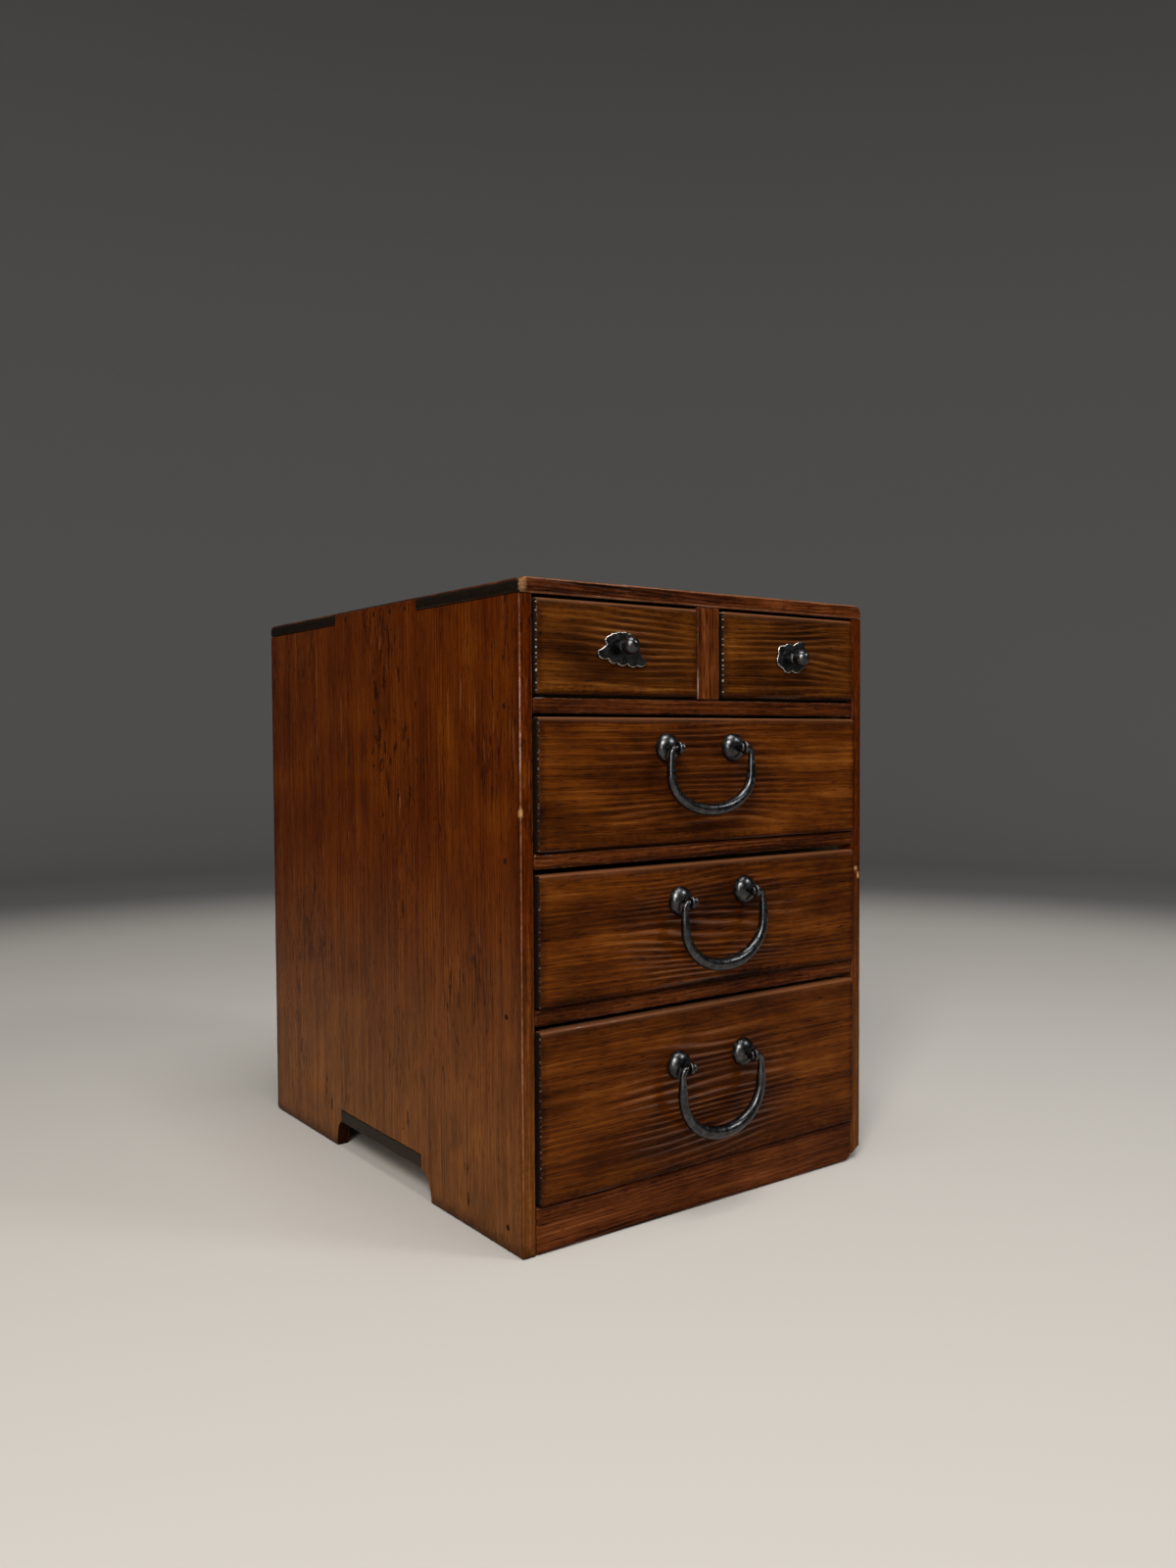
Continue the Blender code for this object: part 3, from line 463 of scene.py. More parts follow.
def rubbed_lines(finish, place, fray, streak):
    """1 on the long pale lines that are rubbed into a side."""
    lines = 0.0
    for line_y, line_z, half in RUBBED_LINES:
        gap = distance(place[Y] + (fray - 0.5) * 3.0, line_y / MM)
        reach = distance(place[Z], line_z / MM)
        line = finish.fall(gap, 0.3, 1.1) * finish.fall(reach, 0.6 * half / MM, half / MM)
        lines = (line * finish.rise(streak, 0.40, 0.55)).most(lines)
    return lines


def painted_arris_glints(finish, place, edge, end_gap):
    """1 on the row of painted glints: bright spots down the ends of a drawer's front."""
    row = finish.speckle(finish.vector(0.0, 0.0, place[Z] * 0.55 + place[X] * 0.01), 1.0)
    return finish.fall(edge, 0.9, 1.3) * finish.fall(end_gap, 1.5, 2.0) * finish.rise(row, 0.52, 0.64)


def stained_wood(node, board, handled):
    """Stained and wiped wood: fibres, pores, dark clouds, worn arrises and dark end grain, with painted
    highlights, glints, shade and reflection.
    """
    low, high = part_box(node)
    finish = Finish(node + "_stain")
    place = finish.place()
    along, across, depth = ordered(board.grain, place)
    across = across + finish.pattern((along, across, depth), 0.010, 0.03) * 5.0
    spot = (along, across, depth)
    patterns = [finish.pattern(spot, *rates) for rates in WOOD_PATTERNS.values()]
    fibre, streak, hair, band, cloud, pore_field = patterns
    pore = finish.rise(pore_field, 0.58, 0.70)
    fray = finish.pattern(place, 0.30, 0.30, 4.0, 0.65)
    edge = edge_distance(place, low, high)
    end_gap = (along - low[board.grain] / MM).least(high[board.grain] / MM - along)
    end = finish.fall(end_gap, 0.9, 1.4)
    ridge = finish.attribute("ridge")

    soil = finish.fall(edge + (fray - 0.5) * 10.0, 0.0, 7.0)
    lines = (fibre - 0.5) * 0.95 + (streak - 0.5) * 0.80 + (hair - 0.5) * 0.45 - pore * 0.42
    mottle = ((band - 0.5) * 0.84 + (cloud - 0.5)) * board.mottle
    tone = 0.53 + lines * board.contrast + mottle - soil * 0.18 + (ridge - 0.35) * 0.14
    relief = fibre * 0.45 + streak * 0.35 + hair * 0.18 - pore * 0.35
    polish = finish.fall(edge + (fray - 0.5) * 1.2, 0.4, 1.6) * finish.rise(ridge, 0.25, 0.60)
    if handled:
        # Grease from hands darkens the wood round the handle, and there the crests are painted lighter:
        # partly polish, partly a painted highlight of raised grain catching the light
        grease_and_sheen = hands_grease_and_sheen(finish, place, fray, handled)
        tone = tone - grease_and_sheen * 0.24 + grease_and_sheen * ridge * 0.36
        polish = polish.most(grease_and_sheen * finish.rise(ridge, 0.30, 0.75))

    stain = STAINS[board.stain]
    colour = finish.add("ValToRGB", {"stops": list(zip(STAIN_STOPS, stain))}, {0: tone})
    # The top edge of a drawer's front: rubbed wear, and a painted highlight along its arris
    if handled:
        top_wear_and_highlight = rubbed_top_and_highlight(finish, high.z / MM - place[Z], fibre, streak)
        colour = finish.blend(top_wear_and_highlight, colour, PALE_WEAR_AND_HIGHLIGHT)
    if board.scarred:
        zone = finish.speckle(finish.vector(along * 0.010, across * 0.022, depth * 0.02))
        scar_and_shade_mark = finish.attribute("scar")
        scar_field = finish.pattern(spot, 0.075, 0.55, 3.0, 0.6)
        scar = finish.rise(scar_field + (zone - 0.5) * 0.70 + scar_and_shade_mark * 0.34, 0.66, 0.72)
        # Painted glints: pale streaks in the scarred zone; the lines from rubbed_lines are rubbed wear
        lit_field = finish.speckle(finish.vector(along * 0.03, across * 0.7 + 30.0, depth * 0.7), 3.0, 0.6)
        rubbed = finish.rise(lit_field + (zone - 0.5) * 0.3, 0.66, 0.75)
        rubbed = rubbed.most(rubbed_lines(finish, place, fray, streak))
        colour = finish.blend(rubbed * 0.45, colour, PALE_WEAR_AND_HIGHLIGHT)
        # Painted reflection: a side turns paler and more orange towards its bottom
        painted_low_reflection = finish.fall(along + (cloud - 0.5) * 90.0, 10.0, 230.0)
        pale = finish.blend(finish.rise(tone, 0.30, 0.80), LOW_REFLECTION_DARK, LOW_REFLECTION_PALE)
        colour = finish.blend(painted_low_reflection * 0.55, colour, pale)
        floor_grime = finish.fall(along + (fray - 0.5) * 22.0, 0.0, 13.0)
        # Painted shade: the cut faces inside the arch under a side are made almost as dark as the darkest
        # stain
        painted_arch_shade = finish.rise(scar_and_shade_mark, 0.5 * FOOT_SHADE_MARK, 2.5)
        dark = (floor_grime * 0.45).most(scar * 0.72).most(painted_arch_shade * 0.94)
        colour = finish.blend(dark, colour, stain[0])
        relief = relief - scar * 1.4

    # Arrises rubbed pale; on the top board and the left side the pale share also stands in for a painted
    # highlight along the arris that catches the light
    arris_reach, arris_pale_share = ARRIS_WEAR_AND_HIGHLIGHT.get(node, COMMON_WEAR)
    arris = finish.fall(edge + (fray - 0.5) * 1.1, 0.25, arris_reach)
    worn = arris * finish.rise(place[Z], 5.0, 60.0)
    colour = finish.blend(worn * arris_pale_share, colour, PALE_WEAR_AND_HIGHLIGHT)
    fresh = finish.attribute("bare")
    colour = finish.blend(fresh, colour, FRESH_WOOD)
    rings = finish.rise((depth * 0.55 + across * 0.35 + fibre).fraction(), 0.60, 0.92)
    # Most boards take the shaded end colours: dark end grain, darkened further as painted shade where the
    # ends sit in the gaps beside the drawers
    end_colour = finish.blend(rings, *(TOP_END if node == "top_board" else SHADED_END))
    colour = finish.blend(end * (1.0 - worn * 0.15) * (1.0 - fresh), colour, end_colour)
    if handled:
        # Painted glints: bright spots down the end arrises of the front
        glint_share = painted_arris_glints(finish, place, edge, end_gap) * PAINTED_GLINT_SHARES[board.stain]
        colour = finish.blend(glint_share, colour, PAINTED_GLINT_COLOUR)
        hidden = finish.rise(place[Y] - high.y / MM, -1.6, -0.9)
    else:
        hidden = hidden_side(finish, place)
    bare = finish.blend(finish.rise(tone, 0.15, 0.90), BARE_DARK, BARE_PALE)
    colour = finish.blend(hidden, colour, bare)
    coat = polish * (1.0 - hidden) * (1.0 - end * (1.0 - arris)) * (0.45 if board.scarred else 0.9)
    shine = 0.28 + hidden * 0.30 + (cloud - 0.5) * 0.16 + pore * 0.14 + end * 0.25 + (hair - 0.5) * 0.10
    surface = finish.add(
        "BsdfPrincipled",
        {},
        {
            "Base Color": colour,
            "Roughness": shine,
            "Specular IOR Level": 0.035,
            "Coat Weight": coat,
            "Coat Roughness": 0.14,
            "Normal": finish.bump(relief, 0.00045, 0.5),
        },
    )
    return finish.close(surface)


def bare_wood(name, node, grain):
    """Planed wood that was never stained, browned with age, with dark ends where it reaches the outside, and
    its front edge painted black as shade where it lies in a gap.
    """
    low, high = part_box(node)
    finish = Finish(name)
    place = finish.place()
    spot = ordered(grain, place)
    _, across, depth = spot
    bend = finish.pattern(spot, 0.0035, 0.013)
    line = ((across * 0.5 + depth * 0.9) / 5.0 + bend * 13.0).fraction()
    late = finish.rise(line, 0.30, 0.9) * finish.fall(line, 0.93, 1.0)
    fibre = finish.pattern(spot, 0.02, 1.3, 4.0, 0.6)
    cloud = finish.pattern(spot, 0.01, 0.02, 3.0, 0.6)
    edge = edge_distance(place, low, high)
    soil = finish.fall(edge + (cloud - 0.5) * 14.0, 0.0, 9.0)
    tone = 0.55 + (fibre - 0.5) * 0.5 + (cloud - 0.5) * 0.7 - late * 0.18 - soil * 0.16
    colour = finish.add("ValToRGB", {"stops": PLANED_STOPS}, {0: tone})
    half = cad_box[1][X] / MM
    outside = finish.rise(place[X].most(0.0 - place[X]), half - 1.5, half - 0.8)
    rings = (depth * 0.06 + across * 0.75 + cloud * 6.0 + fibre * 0.6).fraction()
    ends = finish.blend(finish.rise(rings, 0.5, 0.95), *TONGUE_END)
    colour = finish.blend(outside, colour, ends)
    # Painted shade: the board's front edge, which lies in a gap, is painted nearly black
    painted_gap_shade = finish.fall(place[Y] - low.y / MM, 0.3, 1.5)
    colour = finish.blend(painted_gap_shade * 0.93, colour, BLACK_END_AND_GAP_SHADE)
    relief = fibre * 0.6 + late * 0.3
    surface = finish.add(
        "BsdfPrincipled",
        {},
        {
            "Base Color": colour,
            "Roughness": 0.62 + (fibre - 0.5) * 0.2,
            "Specular IOR Level": 0.15,
            "Normal": finish.bump(relief, 0.0003, 0.5),
        },
    )
    return finish.close(surface)


def forged_iron(name):
    """Black forged iron: fine pits, a touch of brown rust, and bright metal where a rim is worn."""
    finish = Finish(name)
    place = finish.place()
    x, y, z = place
    pits = finish.pattern(place, 0.9, 0.9, 4.0, 0.65)
    scale = finish.pattern(place, 0.22, 0.22, 3.0, 0.6)
    rust_field = finish.speckle(finish.vector(x * 0.35, y * 0.35, z * 0.35 + 20.0), 4.0, 0.6)
    rust = finish.rise(rust_field, 0.58, 0.75)
    rim = finish.attribute("rim")
    bloom = finish.rise(scale + (pits - 0.5) * 0.25, 0.35, 0.75)
    colour = finish.blend(bloom, IRON_DARK, IRON_PALE)
    colour = finish.blend(rust * 0.35, colour, RUST)
    colour = finish.blend(rim * finish.rise(pits, 0.38, 0.55), colour, BRIGHT_IRON)
    surface = finish.add(
        "BsdfPrincipled",
        {},
        {
            "Base Color": colour,
            "Metallic": 1.0 - rust * 0.5,
            "Roughness": 0.27 + (scale - 0.5) * 0.20 + rust * 0.12,
            "Normal": finish.bump(pits * 0.25 + scale * 0.75, 0.00040, 0.40),
        },
    )
    return finish.close(surface)


def peg_wood(name):
    """The end of a hard wooden peg, darker than the board round it."""
    finish = Finish(name)
    grain = finish.pattern(finish.place(), 2.0, 2.0, 3.0, 0.6)
    colour = finish.blend(grain, *PEG_END)
    inputs = {"Base Color": colour, "Roughness": 0.6 + (grain - 0.5) * 0.2, "Specular IOR Level": 0.06}
    surface = finish.add("BsdfPrincipled", {}, inputs)
    return finish.close(surface)


def stage_paint():
    """A pale floor round the object that turns to a dark grey farther off."""
    finish = Finish("stage_paint")
    x, y, _ = finish.place()
    far = finish.rise(x * x + y * y, (PALE_RADIUS / MM) ** 2, (DARK_RADIUS / MM) ** 2)
    colour = finish.blend(far, PALE_PAINT, DARK_PAINT)
    inputs = {"Base Color": colour, "Roughness": 0.9, "Specular IOR Level": 0.1}
    surface = finish.add("BsdfPrincipled", {}, inputs)
    return finish.close(surface)


def eased(share):
    share = min(max(share, 0.0), 1.0)
    return share * share * (3 - 2 * share)


def ridge_at(place, grain, pitch):
    """How far the late wood stands up at a place on a board, from 0 in the soft wood to 1 on a crest."""
    along, across, depth = ordered(grain, [value / MM for value in place])
    bend = 2.4 * noise.noise((along / 150, across / 26, depth / 26))
    bend += 0.30 * noise.noise((along / 46, across / 10, depth / 10))
    phase = ((across + 0.45 * depth) / pitch + bend) % 1.0
    crest = eased((phase - 0.25) / 0.50) if phase < 0.78 else 1.0 - eased((phase - 0.78) / 0.22)
    strength = 0.65 + 0.60 * noise.noise((along / 70, across / 16 + 7.0, depth / 16))
    small = 0.5 + 0.5 * noise.noise((along / 24, across / 1.3, depth / 1.3))
    return crest * min(max(strength, 0.20), 1.0) * 0.85 + small * 0.15


def median_gap(place, low, high):
    """Millimetres from a place on a board to its box's nearest edge."""
    gaps = sorted(min(place[axis] - low[axis], high[axis] - place[axis]) for axis in (X, Y, Z))
    return gaps[1] / MM


def even_cuts(low, high, step):
    count = max(round((high - low) / step), 1)
    return [low + (high - low) * i / count for i in range(1, count)]


def slice_board(shape, axis, cuts):
    """Cuts a board into strips by planes square to an axis."""
    normal = [0.0, 0.0, 0.0]
    normal[axis] = 1.0
    for cut in cuts:
        point = [0.0, 0.0, 0.0]
        point[axis] = cut
        everything = shape.verts[:] + shape.edges[:] + shape.faces[:]
        bmesh.ops.bisect_plane(shape, geom=everything, dist=0.000001, plane_co=point, plane_no=normal)


def clean_copy(node):
    """A node's mesh as one merged shape, with its flat faces whole."""
    shape = bmesh.new()
    shape.from_mesh(frame["nodes"][node].data)
    bmesh.ops.remove_doubles(shape, verts=shape.verts, dist=MERGE)
    flat = math.radians(FLAT_ANGLE)
    bmesh.ops.dissolve_limit(shape, angle_limit=flat, verts=shape.verts, edges=shape.edges)
    return shape


def finished_piece(name, mesh, material, sharp_angle):
    if "custom_normal" in mesh.attributes:
        mesh.attributes.remove(mesh.attributes["custom_normal"])
    mesh.materials.clear()
    mesh.materials.append(material)
    mesh.shade_smooth()
    mesh.set_sharp_from_angle(angle=math.radians(sharp_angle))
    piece = bpy.data.objects.new(name, mesh)
    bpy.context.scene.collection.objects.link(piece)
    return piece


def stand_for(piece, node):
    """The piece takes a node's place and body."""
    record = frame["record"]
    body = next(name for name, members in record["behaviour"]["bodies"].items() if node in members)
    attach(piece, body)
    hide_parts(node)


def handled_share(place, handled):
    """1 at a handle, fading to 0 at the reach of a hand."""
    centre_x, centre_z, reach_x, reach_z = handled
    return 1.0 - eased(math.hypot((place.x - centre_x) / reach_x, (place.z - centre_z) / reach_z))


def scattered_gouges(chance):
    """Long narrow dents in the left side, thickest about its middle."""
    gouges = []
    for centre_y, centre_z, spread_y, spread_z, count in GOUGE_CLUSTERS:
        for _ in range(count):
            across = chance.gauss(centre_y, spread_y)
            level = chance.gauss(centre_z, spread_z)
            half_width = chance.uniform(*GOUGE_HALF_WIDTHS)
            half_length = chance.uniform(*GOUGE_HALF_LENGTHS)
            gouges.append((across, level, half_width, half_length))
    return gouges


def gouge_cuts(gouges):
    """Levels on one even grid, wherever a gouge lies."""
    steps = set()
    for across, _, half_width, _ in gouges:
        first = math.floor((across - half_width) / GOUGE_STRIP)
        last = math.ceil((across + half_width) / GOUGE_STRIP)
        steps.update(range(first, last + 1))
    return [step * GOUGE_STRIP for step in sorted(steps)]


def gouged(place, gouges):
    """How deep in a gouge a place on the left side lies, from 0 to 1."""
    deepest = 0.0
    ragged = 0.7 * noise.noise(place / (2.2 * MM)) - 0.1
    for across, level, half_width, half_length in gouges:
        width = (place.y - across) / half_width
        length = (place.z - level) / half_length
        deepest = max(deepest, 1.0 - width * width - length * length + ragged)
    return min(deepest, 1.0)


def corner_shift(place, low, high, rounded):
    """How a place near a board's top right corner moves when the corner is rubbed to a quarter round."""
    reach_across, reach_back, reach_down, lost = rounded
    across = 1.0 - (high.x - place.x) / reach_across
    rise = 1.0 - (high.z - place.z) / reach_down
    if min(across, rise) <= 0.0:
        return Vector()
    pull = lost * across * rise * (1.0 - eased((place.y - low.y) / reach_back))
    return Vector((-reach_across * across * pull, 0.0, -reach_down * rise * pull))


def rubbed_off(place, low, high, rounding):
    """How much of a board's arris is rubbed off at a place."""
    rub = 1.0 - eased(median_gap(place, low, high) / ARRIS_WEAR_REACH)
    if rub <= 0:
        return 0.0
    broad = max(noise.noise(place / (9 * MM)), 0.0)
    small = noise.noise(place / (2.6 * MM))
    return rub * (rounding + 0.30 * broad + 0.12 * small) * MM


def knocked_off(place, knocks):
    """How deep in the knocks a place lies, and how fresh its wood is."""
    depth = 0.0
    bare = 0.0
    for spot, reach, knock_depth, fresh in knocks:
        offset = place - Vector(spot)
        share = Vector(offset[axis] / reach[axis] for axis in (X, Y, Z)).length
        if share < 1.0:
            depth += knock_depth * (1.0 - share * share)
            bare = max(bare, fresh * (1.0 - share**3))
    return depth, bare


def cut_strips(node, board, fine_ends, gouges):
    """A board's shape, cut finely enough to be dressed."""
    low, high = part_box(node)
    step_x, step_z = board.steps
    shape = clean_copy(node)
    slice_board(shape, Z, even_cuts(low.z, high.z, step_z))
    slice_board(shape, X, even_cuts(low.x, high.x, step_x))
    slice_board(shape, Y, [low.y + inset for inset in FRONT_INSETS])
    if fine_ends:
        slice_board(shape, X, [low.x + inset for inset in END_INSETS])
        slice_board(shape, X, [high.x - inset for inset in END_INSETS])
    slice_board(shape, Y, gouge_cuts(gouges))
    shape.normal_update()
    return shape


def dressed_board(node, board, material, knocks=(), handled=None, gouges=()):
    """A board cut into fine strips, so that raised grain, rubbed arrises and chips are part of its shape."""
    low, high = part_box(node)
    rounded = ROUNDED_CORNERS.get(node)
    shape = cut_strips(node, board, handled or rounded, gouges)
    for name in ("ridge", "bare", "scar"):
        shape.verts.layers.float.new(name)
    ridge_layer = shape.verts.layers.float["ridge"]
    bare_layer = shape.verts.layers.float["bare"]
    scar_and_shade_layer = shape.verts.layers.float["scar"]
    rounding = FRONT_ROUNDING if handled else CASE_ROUNDING
    moves = []
    for vert in shape.verts:
        place = vert.co.copy()
        ridge = ridge_at(place, board.grain, board.pitch)
        vert[ridge_layer] = ridge
        facing = max(-vert.normal.y, 0.0)
        relief = board.relief
        if handled:
            relief *= 0.5 + 1.5 * handled_share(place, handled)
        move = -(1.0 - ridge) * relief * facing - SKIN * max(abs(vert.normal.x), vert.normal.y)
        move -= rubbed_off(place, low, high, rounding)
        depth, vert[bare_layer] = knocked_off(place, knocks)
        move -= depth
        if gouges and abs(vert.normal.x) > 0.9:
            vert[scar_and_shade_layer] = gouged(place, gouges)
            move -= vert[scar_and_shade_layer] * GOUGE_DEPTH
        # The cut faces inside the arch under a side get the mark for painted shade
        inside = low.y + FOOT_INSET < place.y < high.y - FOOT_INSET
        if board.scarred and inside and place.z < FOOT_LEVEL and abs(vert.normal.x) < 0.5:
            vert[scar_and_shade_layer] = FOOT_SHADE_MARK
        shift = corner_shift(place, low, high, rounded) if rounded else Vector()
        moves.append((vert, vert.normal * move + shift))
    for vert, move in moves:
        vert.co += move
    mesh = bpy.data.meshes.new(node + "_dressed")
    shape.to_mesh(mesh)
    shape.free()
    piece = finished_piece(node + "_dressed", mesh, material, BOARD_SHARP_ANGLE)
    stand_for(piece, node)


def hand_reach(node, kind):
    """Where hands reach on a drawer's front, round its knob or its bail; nothing on other boards."""
    if kind not in HAND_REACHES:
        return None
    handle = node.replace("front", "bail") if kind == "wide_front" else node
    low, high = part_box(handle)
    middle = (low + high) / 2
    return (middle.x, middle.z, *HAND_REACHES[kind])


def knocks_by_board():
    """Chips and worn corners: each has its middle, its reach, its depth and how fresh its wood is."""
    left_x, front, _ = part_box("side_panel_left")[0]
    right_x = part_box("side_panel_right")[0].x
    top_x, top_front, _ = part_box("top_board")[0]
    top_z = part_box("top_board")[1].z
    return {
        "side_panel_left": (((left_x, front, 0.2500), (0.0020, 0.0022, 0.0034), 0.0009, 1.0),),
        "side_panel_right": (
            ((right_x + 0.0040, front, 0.2008), (0.0020, 0.0022, 0.0014), 0.0006, 1.0),
            ((right_x + 0.0064, front, 0.1966), (0.0014, 0.0022, 0.0022), 0.0006, 1.0),
        ),
        "top_board": (
            ((top_x, top_front, top_z), (0.0045, 0.0045, 0.0030), 0.0010, 0.35),
            ((top_x + 0.0016, top_front, top_z - 0.0030), (0.0042, 0.0014, 0.0075), 0.0, 0.36),
        ),
    }


def dress_stained_boards():
    knocks = knocks_by_board()
    gouges = {"side_panel_left": scattered_gouges(random.Random(GOUGE_SEED))}
    for node, kind in STAINED_BOARDS.items():
        board = KINDS[kind]
        handled = hand_reach(node, kind)
        material = stained_wood(node, board, handled)
        dressed_board(node, board, material, knocks.get(node, ()), handled, gouges.get(node, ()))


def dress_back():
    material = bare_wood("back_panel_wood", "back_panel", BACK_BOARD.grain)
    dressed_board("back_panel", BACK_BOARD, material)


def bare_grain(node):
    """Cross pieces have their grain across, and everything that runs back has it along Y."""
    return X if node.endswith("_back") or node == "bottom_board" else Y


def dress_inner_boards():
    for part in frame["record"]["subparts"]:
        node = part["node"]
        if part["material_slot"] == "inner_wood" and node != "back_panel":
            board = frame["nodes"][node]
            board.material_slots[0].material = bare_wood(node + "_wood", node, bare_grain(node))


def smoothed_copy(node, levels):
    """A node's mesh subdivided, with its sharp edges held."""
    shape = bmesh.new()
    shape.from_mesh(frame["nodes"][node].data)
    bmesh.ops.remove_doubles(shape, verts=shape.verts, dist=MERGE)
    bmesh.ops.join_triangles(
        shape,
        faces=shape.faces,
        angle_face_threshold=math.radians(JOIN_FACE_ANGLE),
        angle_shape_threshold=math.radians(JOIN_SHAPE_ANGLE),
    )
    crease = shape.edges.layers.float.new("crease_edge")
    for edge in shape.edges:
        if edge.calc_face_angle(0.0) > math.radians(CREASE_ANGLE):
            edge[crease] = CREASE
    cage = bpy.data.meshes.new(node + "_cage")
    shape.to_mesh(cage)
    shape.free()
    holder = bpy.data.objects.new(node + "_cage", cage)
    bpy.context.scene.collection.objects.link(holder)
    modifier = holder.modifiers.new("Smooth", "SUBSURF")
    modifier.levels = levels
    modifier.render_levels = levels
    graph = bpy.context.evaluated_depsgraph_get()
    mesh = bpy.data.meshes.new_from_object(holder.evaluated_get(graph))
    bpy.data.objects.remove(holder, do_unlink=True)
    return mesh


def swell_to_box(mesh, node, swell):
    """Gives back the girth that smoothing takes, within the node's own box."""
    low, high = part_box(node)
    moved = [vert.co + vert.normal * swell for vert in mesh.vertices]
    for vert, place in zip(mesh.vertices, moved):
        vert.co = [min(max(place[axis], low[axis]), high[axis]) for axis in (X, Y, Z)]
    mesh.update()


def hammer(mesh, size, depth):
    """Shallow dimples over a surface, as a hammer leaves them."""
    moves = []
    for vert in mesh.vertices:
        nearest = noise.voronoi(vert.co / size)[0][0]
        uneven = 0.5 + 0.5 * noise.noise(vert.co / (size * 2.5))
        moves.append(vert.normal * depth * -(1.0 - min(nearest * 1.5, 1.0) + uneven) / 2)
    for vert, move in zip(mesh.vertices, moves):
        vert.co += move
    mesh.update()


def dress_iron():
    material = forged_iron("forged_iron")
    for part in frame["record"]["subparts"]:
        node = part["node"]
        for word, (levels, swell, size, depth) in FORGING.items():
            if word in node:
                mesh = smoothed_copy(node, levels)
                swell_to_box(mesh, node, swell)
                hammer(mesh, size, depth)
                piece = finished_piece(node + "_forged", mesh, material, IRON_SHARP_ANGLE)
                stand_for(piece, node)
    for word in ("left", "right"):
        dress_plate(f"small_drawer_{word}_plate", material)


def dress_plate(node, material):
    """A cut plate with its rim filed round and worn bright."""
    shape = clean_copy(node)
    low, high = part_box(node)
    rims = [edge for edge in shape.edges if edge.calc_face_angle(0.0) > math.radians(PLATE_RIM_ANGLE)]
    outer = [edge for edge in rims if all(vert.co.y < (low.y + high.y) / 2 for vert in edge.verts)]
    bevelled = bmesh.ops.bevel(shape, geom=outer, offset=PLATE_RIM, segments=3, profile=0.5, affect="EDGES")
    rim_layer = shape.verts.layers.float.new("rim")
    for face in bevelled["faces"]:
        for vert in face.verts:
            vert[rim_layer] = 1.0 if vert.co.y > low.y + MERGE else 0.0
    mesh = bpy.data.meshes.new(node + "_forged")
    shape.to_mesh(mesh)
    shape.free()
    piece = finished_piece(node + "_forged", mesh, material, PLATE_SHARP_ANGLE)
    stand_for(piece, node)


def peg_tool():
    """A Geometry Nodes tool that drives a peg at each point, square to the face it names."""
    tool = bpy.data.node_groups.new("Pegs", "GeometryNodeTree")
    sockets = (
        ("Points", "Geometry"),
        ("Radius", "Float"),
        ("Length", "Float"),
        ("Seed", "Int"),
        ("Finish", "Material"),
    )
    for name, kind in sockets:
        tool.interface.new_socket(name, in_out="INPUT", socket_type="NodeSocket" + kind)
    tool.interface.new_socket("Geometry", in_out="OUTPUT", socket_type="NodeSocketGeometry")
    start = tool.nodes.new("NodeGroupInput")
    end = tool.nodes.new("NodeGroupOutput")

    def add(kind, settings, inputs):
        node = tool.nodes.new(kind)
        for key, value in settings.items():
            setattr(node, key, value)
        for key, value in inputs.items():
            if isinstance(value, bpy.types.NodeSocket):
                tool.links.new(value, node.inputs[key])
            else:
                node.inputs[key].default_value = value
        return node

    crown = add("ShaderNodeMath", {"operation": "MULTIPLY"}, {0: start.outputs["Radius"], 1: PEG_CROWN})
    peg = add(
        "GeometryNodeMeshCone",
        {},
        {
            "Vertices": PEG_SIDES,
            "Radius Top": crown.outputs[0],
            "Radius Bottom": start.outputs["Radius"],
            "Depth": start.outputs["Length"],
        },
    )
    facing = add("GeometryNodeInputNamedAttribute", {"data_type": "FLOAT_VECTOR"}, {"Name": "facing"})
    turn = add("FunctionNodeAlignRotationToVector", {"axis": "Z"}, {"Vector": facing.outputs["Attribute"]})
    spread = add(
        "FunctionNodeRandomValue",
        {"data_type": "FLOAT"},
        {2: PEG_SPREAD[0], 3: PEG_SPREAD[1], "Seed": start.outputs["Seed"]},
    )
    girth = add("ShaderNodeCombineXYZ", {}, {"X": spread.outputs[1], "Y": spread.outputs[1], "Z": 1.0})
    driven = add(
        "GeometryNodeInstanceOnPoints",
        {},
        {
            "Points": start.outputs["Points"],
            "Instance": peg.outputs["Mesh"],
            "Rotation": turn.outputs["Rotation"],
            "Scale": girth.outputs["Vector"],
        },
    )
    solid = add("GeometryNodeRealizeInstances", {}, {"Geometry": driven.outputs["Instances"]})
    inputs = {"Geometry": solid.outputs["Geometry"], "Material": start.outputs["Finish"]}
    finished = add("GeometryNodeSetMaterial", {}, inputs)
    tool.links.new(finished.outputs["Geometry"], end.inputs["Geometry"])
    return tool


def drive_pegs(tool, body, places, radius, seed, material):
    """One mesh of pegs for a body, from (place, facing) pairs."""
    points = bpy.data.meshes.new(body + "_peg_places")
    points.from_pydata([place for place, facing in places], [], [])
    attribute = points.attributes.new("facing", "FLOAT_VECTOR", "POINT")
    for item, (place, facing) in zip(attribute.data, places):
        item.vector = facing
    holder = bpy.data.objects.new(body + "_peg_places", points)
    bpy.context.scene.collection.objects.link(holder)
    modifier = holder.modifiers.new("Pegs", "NODES")
    modifier.node_group = tool
    values = {"Radius": radius, "Length": PEG_LENGTH, "Seed": seed, "Finish": material}
    for item in tool.interface.items_tree:
        if item.name in values:
            modifier[item.identifier] = values[item.name]
    graph = bpy.context.evaluated_depsgraph_get()
    mesh = bpy.data.meshes.new_from_object(holder.evaluated_get(graph))
    bpy.data.objects.remove(holder, do_unlink=True)
    piece = finished_piece(body + "_pegs", mesh, material, PEG_SHARP_ANGLE)
    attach(piece, body)


